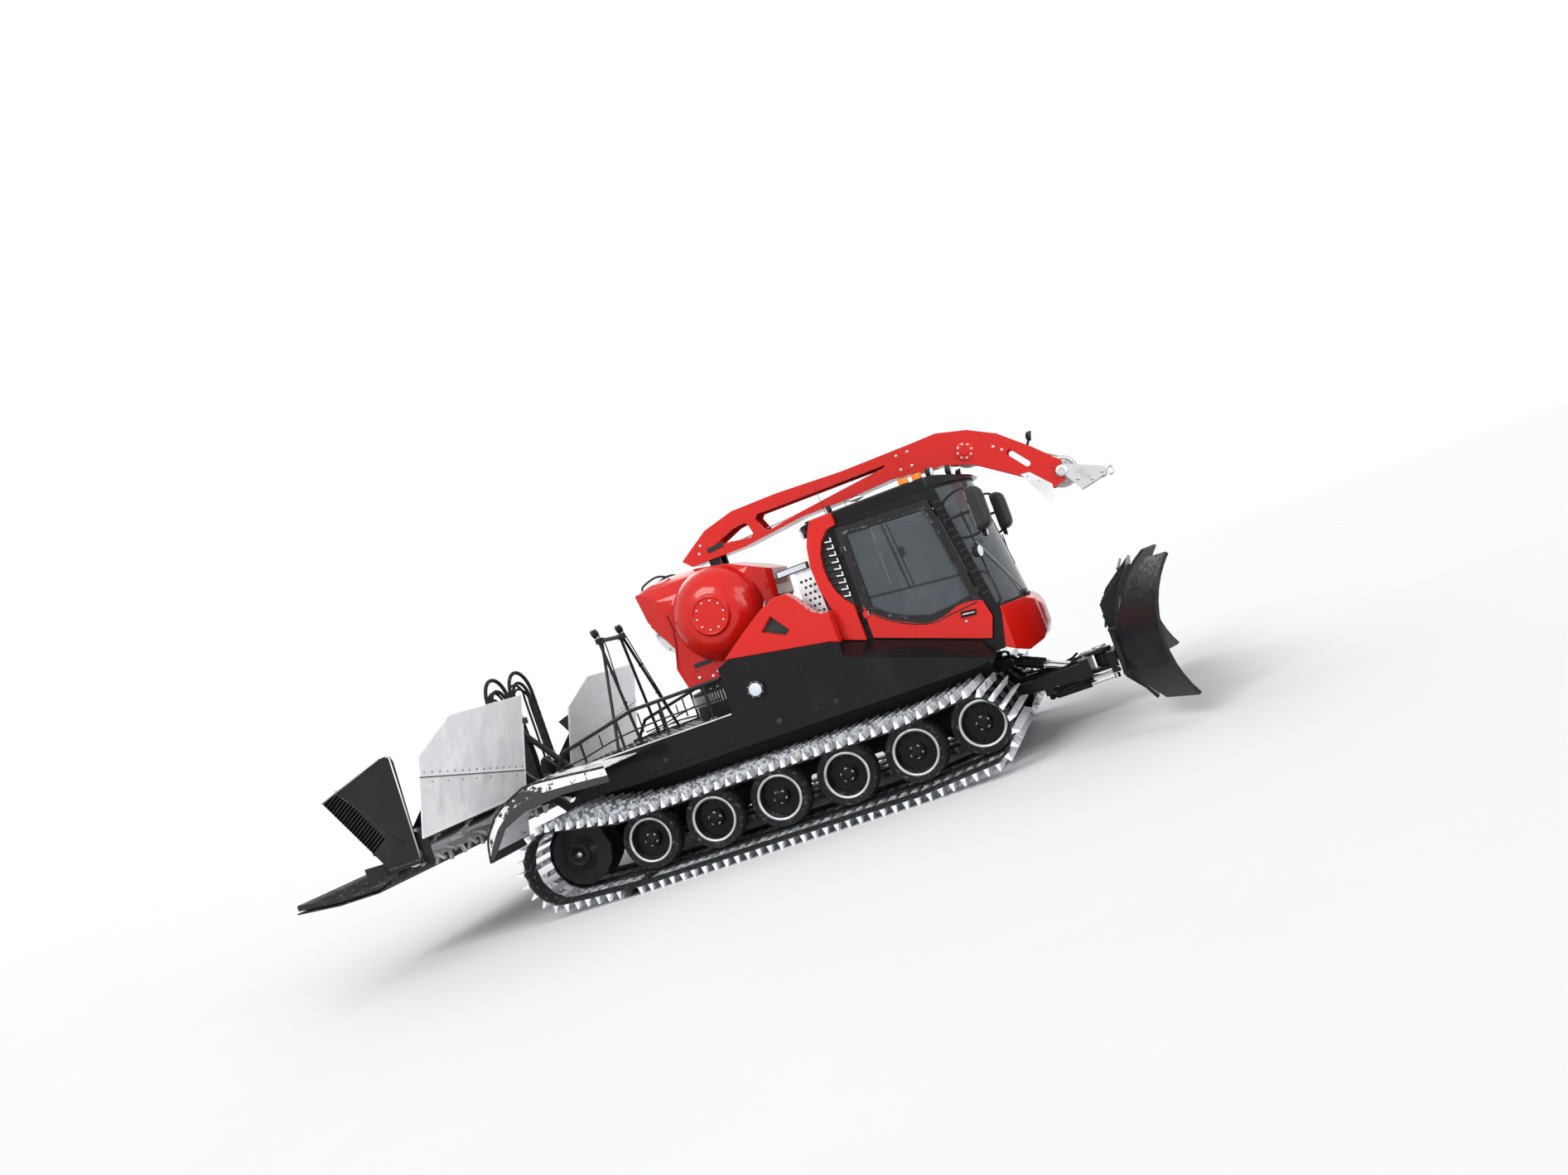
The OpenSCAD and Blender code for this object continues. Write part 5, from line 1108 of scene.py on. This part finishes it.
def tiller_trim():
    """Creases with a thin dark bar under each as painted shade, bolts and folded lips of the covers, motors,
    hood ribs, and hoses with their fittings.
    """
    looks = (galvanised, frame_paint, frosted_white, hose_rubber, machined)
    trim = Part("tiller_trim", "tiller", *looks)
    lean = math.radians(18)
    up, out = Vector((math.sin(lean), 0, math.cos(lean))), Vector((math.cos(lean), 0, -math.sin(lean)))

    def cover(y, height, depth=0.0):
        """A place on a cover's face or behind it, by its height above the foot and its depth."""
        return Vector((-0.868, y, 1.196)) + height * up + (0.012 - depth) * out

    motor = [(0.10, 0), (0.10, 0.008), (0.07, 0.012), (0.055, 0.018), (0, 0.018)]
    rib = [(-1.30, 1.10), (-1.18, 1.275), (-1.06, 1.302), (-1.18, 1.30), (-1.33, 1.18)]
    for s in (-1, 1):
        # Pressed crease from the outer edge down to the inner one, with its bolts, and a thin dark bar under it
        # as painted shade of the crease
        inner, outer = cover(s * 0.60, 0.26), cover(s * 2.75, 0.58)
        trim.bar(inner, outer, 0.020, 0.012, frosted_white)
        # Thin dark bar just below the crease: painted shade
        trim.bar(inner - 0.016 * up, outer - 0.016 * up, 0.006, 0.014, frame_paint)
        for k in range(15):
            place = inner.lerp(outer, (k + 0.5) / 15) + 0.030 * up
            trim.bolt(place, out, 0.009, machined)
            if k % 2:
                trim.bolt(place - 0.09 * up, out, 0.008, machined)
        # Folded lips along the foot and the inner edge, and stiffeners behind the cover
        trim.bar(cover(s * 0.60, 0.01), cover(s * 2.75, 0.01), 0.024, 0.016, frosted_white)
        trim.bar(cover(s * 0.61, 0.01), cover(s * 0.61, 0.75), 0.020, 0.014, frosted_white)
        for y in (1.15, 1.70, 2.25):
            trim.bar(cover(s * y, 0.05, 0.030), cover(s * y, 0.9, 0.030), 0.03, 0.02, frame_paint)
        # Hydraulic motor at the tiller's end
        place = Vector((-1.08, s * 2.65, 1.06))
        trim.turned(place, s * ACROSS, motor, machined, 28)
        trim.bolt_ring(place + s * 0.008 * ACROSS, s * ACROSS, 0.082, 6, 0.007, galvanised)
        for y in (0.95, 1.5, 2.05, 2.5):
            trim.sheet(rib, s * y - 0.012, s * y, frame_paint)
    # Fittings of the thick hoses at the mast's block and at the hood, and the rings along them
    thick = [(0.040, 0.560, 0.021), (0.095, 0.470, 0.019), (-0.045, -0.540, 0.021), (-0.100, -0.450, 0.019)]
    for y0, y1, r in thick:
        fitting = [(1.5 * r, 0), (1.5 * r, 0.028), (1.25 * r, 0.034), (1.3 * r, 0.10), (1.05 * r, 0.105)]
        for y, z in ((y0, 1.975), (y1, 1.40)):
            trim.turned((-0.975, y, z), UP, fitting, machined, 12)
        for k in range(5):
            ring = [(r, 0), (1.12 * r, 0.004), (1.12 * r, 0.02), (r, 0.024)]
            trim.turned((-0.975, y1, 1.55 + 0.14 * k), UP, ring, hose_rubber, 14)
    # Thinner hoses looped over the bundle, from the mast's block to ports on the hood
    fitting = [(0.022, 0), (0.022, 0.03), (0.018, 0.034), (0.018, 0.10), (0.014, 0.104)]
    x0, x1 = -1.005, -1.045
    thin = [(0.068, 0.47, 2.37), (0.125, 0.56, 2.31), (-0.072, -0.45, 2.34), (-0.128, -0.54, 2.27)]
    for y0, y1, top in thin:
        middle, reach = (y0 + y1) / 2, abs(y1 - y0) / 2
        line = [(x0, y0, 1.975), (x0, y0, 2.08), (x0 - 0.01, y0, top - reach)]
        for a in (0.5, 1.05, 1.57, 2.1, 2.64):
            line.append((x0 - 0.02, middle + (y0 - middle) * math.cos(a), top - reach * (1 - math.sin(a))))
        line += [(x1, y1, z) for z in (top - reach, 1.80, 1.50, 1.38)]
        trim.hose(line, 0.014, hose_rubber, 10, 5)
        for place in (line[0], (x1, y1, 1.37)):
            trim.turned(place, UP, fitting, machined, 12)
        trim.block((x1 - 0.032, y1 - 0.032, 1.27), (x1 + 0.032, y1 + 0.032, 1.375), frame_paint)
    trim.done(0.0015)


def wing_comb(side, body):
    """Rubber comb along the rear edge of a side wing, its worn streaks, edge bead, crease and bolts."""
    comb = Part(f"{body}_comb", body, flap_rubber, frame_paint, galvanised, frosted_white)
    y = 2.690
    start, end = Vector((-1.44, y, 1.19)), Vector((-1.80, y, 1.815))
    along = (end - start).normalized()
    inward = Vector((along.z, 0, -along.x))
    for k in range(20):
        place = start + along * (0.02 + 0.034 * k)
        comb.panel([(0, 0), (0.20, 0), (0.20, 0.017), (0, 0.017)], place, inward, along, 0.008, flap_rubber)
        streak = [(0, 0.021), (0.05 + 0.11 * (k % 3) / 2, 0.024), (0, 0.030)]
        comb.panel(streak, place, inward, along, 0.005, frosted_white)
    edge = [(-1.80, 1.812), (-1.06, 2.026), (-1.0, 2.028), (-0.957, 2.0), (-0.985, 1.03)]
    comb.tube([(x, y + 0.001, z) for x, z in edge], 0.008, galvanised, 6)
    comb.tube([(-1.62, y, 1.86), (-1.10, y, 1.20)], 0.006, frame_paint, 6)
    for x, z in ((-1.05, 1.12), (-1.28, 1.12), (-1.03, 1.90), (-1.15, 1.50)):
        comb.bolt((x, y, z), ACROSS, 0.010, frame_paint)
    if side < 0:
        comb.flip()
    comb.done()


def finisher_flaps():
    """Separate rubber flaps of the finisher, with pressed ribs, bolts and worn ends."""
    flaps = Part("finisher_flaps", "tiller", flap_rubber, frosted_white, frame_paint)
    low = [(-1.30, 0.925), (-1.40, 0.905), (-1.56, 0.864), (-2.0, 0.868), (-2.475, 0.916)]
    high = [(x, z + 0.014 + 0.01 * i) for i, (x, z) in enumerate(low)]
    for k in range(11):
        y0 = -2.62 + 0.477 * k
        y1 = y0 + 0.455
        flaps.sheet([*low, *reversed(high)], y0, y1, flap_rubber)
        for j in range(6):
            y = y0 + 0.04 + 0.075 * j
            flaps.bar((-1.62, y, 0.895), (-2.40, y, 0.955), 0.014, 0.012, flap_rubber)
        flaps.bar((-2.478, y0 + 0.01, 0.945), (-2.478, y1 - 0.01, 0.945), 0.012, 0.03, frosted_white)
        for j in range(3):
            flaps.bolt((-1.36, y0 + 0.08 + 0.15 * j, 0.94), (-0.3, 0, 1), 0.009, frame_paint)
    flaps.done(0.002)


def track_trim():
    """Backing plates and bolts that hold each cross bar to the belts, along the straight runs."""
    plate = [(-0.030, -0.05), (0.030, -0.05), (0.030, 0.05), (-0.030, 0.05)]
    flat_width = 0.048
    for name in ("left", "right"):
        trim = Part(f"{name}_track_trim", "vehicle", galvanised, frame_paint)
        for _, places, low, high in loose_parts(nodes[f"track_{name}"].data):
            if high.x - low.x > 1:
                continue
            # The flat that lies on the belts, found by its width at the bar's right end
            end = [p for p in places if p.y < low.y + 0.001]
            pairs = [((p - q).length, p, q) for p in end for q in end]
            flats = [pair for pair in pairs if abs(pair[0] - flat_width) < 0.004]
            if not flats:
                continue
            _, p, q = max(flats)
            along, flat, middle = (q - p).normalized(), (p + q) / 2, sum(end, Vector()) / len(end)
            away = (flat - Vector((middle.x, flat.y, middle.z))).normalized()
            for y in both(0.605):
                place = Vector((flat.x - AXLE_X, (low.y + high.y) / 2 + y, flat.z)) - away * 0.004
                trim.panel(plate, place, along, ACROSS, 0.008, galvanised)
                for dy in (-0.03, 0.03):
                    trim.bolt(place - away * 0.004 + dy * ACROSS + along * 0.033, -away, 0.007, frame_paint)
        trim.done()


def cab_inside():
    """Mat, headlining, screens, armrests, stick, pedals, half wheel and grab bars behind the glass."""
    looks = (dark_plastic, grey_plastic, screen_glow, machined, seat_cloth)
    trim = Part("cab_inside", "vehicle", *looks)
    driver = -SEAT_Y
    trim.block((3.2, -0.86, 1.101), (4.30, 0.86, 1.108), dark_plastic)
    trim.block((3.2, -0.87, 2.655), (4.30, 0.87, 2.685), grey_plastic)
    for y, half in ((driver, 0.15), (0.0, 0.12), (0.42, 0.10)):
        trim.sheet([(4.26, 1.56), (4.30, 1.56), (4.36, 1.80), (4.33, 1.81)], y - half, y + half, dark_plastic)
        edge = half - 0.012
        pane = [(-edge, 0.02), (edge, 0.02), (edge, 0.215), (-edge, 0.215)]
        trim.panel(pane, (4.262, y, 1.566), -ACROSS, (0.27, 0, 0.963), 0.004, screen_glow)
    # Armrests of the driver, and the stick on the outer one
    armrest = [(3.52, 1.62), (3.92, 1.64), (3.94, 1.69), (3.90, 1.71), (3.52, 1.70)]
    for y in (driver - 0.22, driver + 0.24):
        trim.sheet(armrest, y - 0.04, y + 0.04, dark_plastic)
        trim.rod((3.56, y, 1.40), (3.56, y, 1.62), 0.018, machined)
    stick = [
        (0.04, 0), (0.03, 0.02), (0.016, 0.03), (0.016, 0.08),
        (0.028, 0.10), (0.032, 0.15), (0.02, 0.185), (0, 0.19),
    ]
    trim.turned((3.88, driver - 0.22, 1.71), UP, stick, dark_plastic, 20)
    # Pedals
    for y in (driver - 0.07, driver + 0.07):
        trim.hose([(4.30, y, 1.12), (4.22, y, 1.18), (4.17, y, 1.28)], 0.010, machined)
        tread = [(-0.04, 0), (0.04, 0), (0.04, 0.12), (-0.04, 0.12)]
        trim.panel(tread, (4.18, y, 1.22), -ACROSS, (-0.4, 0, 0.9), 0.008, dark_plastic)
    # Steering half wheel on its column
    trim.rod((4.26, driver, 1.46), (4.08, driver, 1.62), 0.022, dark_plastic)
    turns = [math.radians(20 * k) for k in range(-6, 7)]
    wheel = [(0.09 * math.cos(a), 0.16 * math.sin(a), 0.10 * math.cos(a)) for a in turns]
    trim.tube([Vector((4.07, driver, 1.63)) + Vector(p) for p in wheel], 0.014, dark_plastic)
    trim.rod((3.99, driver, 1.53), (4.16, driver, 1.73), 0.012, machined)
    for y in both(0.84):
        trim.hose([(3.24, y, 1.5), (3.23, 1.012 * y, 2.0), (3.26, y, 2.5)], 0.02, grey_plastic)
    trim.done(0.003)


def seat_cushions():
    """Both seats: padded cushion, back and head rest, their rails, bellows, base and belt."""
    cushions = Part("seat_cushions", "vehicle", seat_cloth, seat_edge)
    frames = Part("seat_frames", "vehicle", dark_plastic, machined, belt_rubber)
    for y in both(SEAT_Y):
        pad(cushions, (3.70, y, 1.435), (1, 0, 0.05), ACROSS, 0.50, 0.46, 0.13)
        pad(cushions, (3.43, y, 1.79), (-0.22, 0, 1), -ACROSS, 0.60, 0.46, 0.13)
        pad(cushions, (3.36, y, 2.165), (-0.15, 0, 1), -ACROSS, 0.17, 0.28, 0.10)
        for s in (-1, 1):
            frames.rod((3.385, y + 0.07 * s, 2.03), (3.37, y + 0.07 * s, 2.12), 0.008, machined)
            frames.block((3.50, y + s * 0.17 - 0.02, 1.108), (3.92, y + s * 0.17 + 0.02, 1.14), machined)
        for k in range(5):
            half, z = 0.18 - 0.004 * k, 1.14 + 0.045 * k
            frames.block((3.72 - half, y - half, z), (3.70 + half, y + half, z + 0.035), dark_plastic)
        frames.block((3.48, y - 0.21, 1.355), (3.92, y + 0.21, 1.372), dark_plastic)
        belt = [(3.45, y + 0.235, 1.40), (3.47, y + 0.24, 1.60), (3.42, y + 0.235, 1.95)]
        frames.hose(belt, 0.012, belt_rubber, 6)
    made = cushions.done()
    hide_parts("seats")
    frames.done(0.003)


def pad(part, centre, along, across, length, width, thick):
    """A crowned pad with pulled-in sides, sewn channels and raised side bolsters, and piping round it."""
    centre, along, across = Vector(centre), Vector(along).normalized(), Vector(across).normalized()
    up = along.cross(across)
    n, m = 24, 20

    def ridge(t, middle, wide):
        return math.exp(-((abs(t) - middle) / wide) ** 2)

    def height(a, b, side):
        crown = (1 - a ** 6) ** 0.5 * (1 - b ** 6) ** 0.5
        if side < 0:
            return -0.42 * crown ** 0.5
        bolster = 0.22 * ridge(b, 0.76, 0.16)
        seam = 0.16 * ridge(b, 0.52, 0.035) + 0.12 * ridge(a, 0.34, 0.025) * (abs(b) < 0.52)
        return (0.42 + bolster - seam + 0.10 * (1 - a * a) * (1 - b * b)) * crown

    def place(i, j, side):
        a, b = 2 * i / n - 1, 2 * j / m - 1
        x = 0.5 * length * a * (1 - 0.03 * (1 - abs(b)) * abs(a) ** 3)
        y = 0.5 * width * b * (1 - 0.035 * (1 - a * a) * abs(b) ** 3)
        return centre + x * along + y * across + height(a, b, side) * thick * up

    corners, index, loops = [], {}, []
    for side in (1, -1):
        for i in range(n + 1):
            for j in range(m + 1):
                if side < 0 and (i in (0, n) or j in (0, m)):
                    index[side, i, j] = index[1, i, j]
                else:
                    index[side, i, j] = len(corners)
                    corners.append(place(i, j, side))
        for i in range(n):
            for j in range(m):
                loop = [index[side, i + a, j + b] for a, b in ((0, 0), (1, 0), (1, 1), (0, 1))]
                loops.append(loop[::side])
    part.faces(corners, loops, seat_cloth, True)
    rim = [(i, 0) for i in range(n)] + [(n, j) for j in range(m)]
    rim += [(n - i, m) for i in range(n)] + [(0, m - j) for j in range(m)]
    part.tube([corners[index[1, i, j]] for i, j in [*rim, rim[0]]], 0.006, seat_edge, 6)


wheel_trim()
sprocket_trim()
body_trim()
deck_plate()
track_trim()
rail_trim()
guard_trim()
door_trim(1, "left_door")
door_trim(-1, "right_door")
cab_trim()
mirror_trim()
pillar_trim()
lamp_trim()
winch_trim()
winch_ring()
drum_rope()
boom_trim()
tip_trim()
blade_trim()
front_trim()
tiller_trim()
wing_comb(1, "left_side_wing")
wing_comb(-1, "right_side_wing")
finisher_flaps()
cab_inside()
seat_cushions()

# Camera, light and floor


def camera():
    """The photograph's view, found by fitting the wheels, deck, cab and boom."""
    data = bpy.data.cameras.new("camera")
    data.lens, data.sensor_width = 30.19, 36
    made = bpy.data.objects.new("camera", data)
    right, up, back = (0.9062, 0.2522, -0.3396), (0.3394, 0.0455, 0.9395), (0.2524, -0.9666, -0.0444)
    turn = Matrix((right, up, back)).transposed().to_4x4()
    made.matrix_world = Matrix.Translation(at(6.001, -13.522, 1.698)) @ turn
    bpy.context.scene.collection.objects.link(made)
    bpy.context.scene.camera = made


def sun(name, place, power, softness):
    """A soft lamp that shines from a place towards the machine."""
    data = bpy.data.lights.new(name, "SUN")
    data.energy, data.angle = power, math.radians(softness)
    made = bpy.data.objects.new(name, data)
    made.rotation_euler = (-Vector(place)).to_track_quat("-Z", "Y").to_euler()
    bpy.context.scene.collection.objects.link(made)


def studio():
    """A pale floor, soft lamps and an even sky."""
    mesh = bpy.data.meshes.new("floor")
    mesh.from_pydata([(-60, -60, 0), (60, -60, 0), (60, 60, 0), (-60, 60, 0)], [], [(0, 1, 2, 3)])
    floor = bpy.data.objects.new("floor", mesh)
    look = Look("floor", (0.86, 0.86, 0.87), Roughness=0.9)
    look.link("Base Color", look.mix(look.noise(0.6, 3), (0.85, 0.85, 0.86), (0.88, 0.88, 0.89)))
    mesh.materials.append(look.material)
    bpy.context.scene.collection.objects.link(floor)
    sun("key", (-3, -9, 6), 1.4, 25)
    sun("side", (9, -5, 3), 1.5, 40)
    sun("rim", (-5, 9, 6), 0.7, 40)
    world = bpy.data.worlds.new("sky")
    world.use_nodes = True
    tree = world.node_tree
    # Seen straight on, in gloss or through glass it is plain white, and else it darkens towards the horizon
    height = tree.nodes.new("ShaderNodeSeparateXYZ")
    tree.links.new(tree.nodes.new("ShaderNodeTexCoord").outputs["Generated"], height.inputs[0])
    sky = tree.nodes.new("ShaderNodeMapRange")
    for socket, value in (("From Min", -0.1), ("From Max", 0.8), ("To Min", 0.42), ("To Max", 0.65)):
        sky.inputs[socket].default_value = value
    tree.links.new(height.outputs["Z"], sky.inputs["Value"])
    rays, strength = tree.nodes.new("ShaderNodeLightPath"), sky.outputs[0]
    for ray in ("Is Camera Ray", "Is Glossy Ray", "Is Transmission Ray"):
        seen = tree.nodes.new("ShaderNodeMath")
        seen.operation = "MAXIMUM"
        tree.links.new(rays.outputs[ray], seen.inputs[0])
        tree.links.new(strength, seen.inputs[1])
        strength = seen.outputs[0]
    tree.links.new(strength, tree.nodes["Background"].inputs["Strength"])
    tree.nodes["Background"].inputs["Color"].default_value = (1, 1, 1, 1)
    bpy.context.scene.world = world
    bpy.context.scene.view_settings.view_transform = "Standard"


camera()
studio()
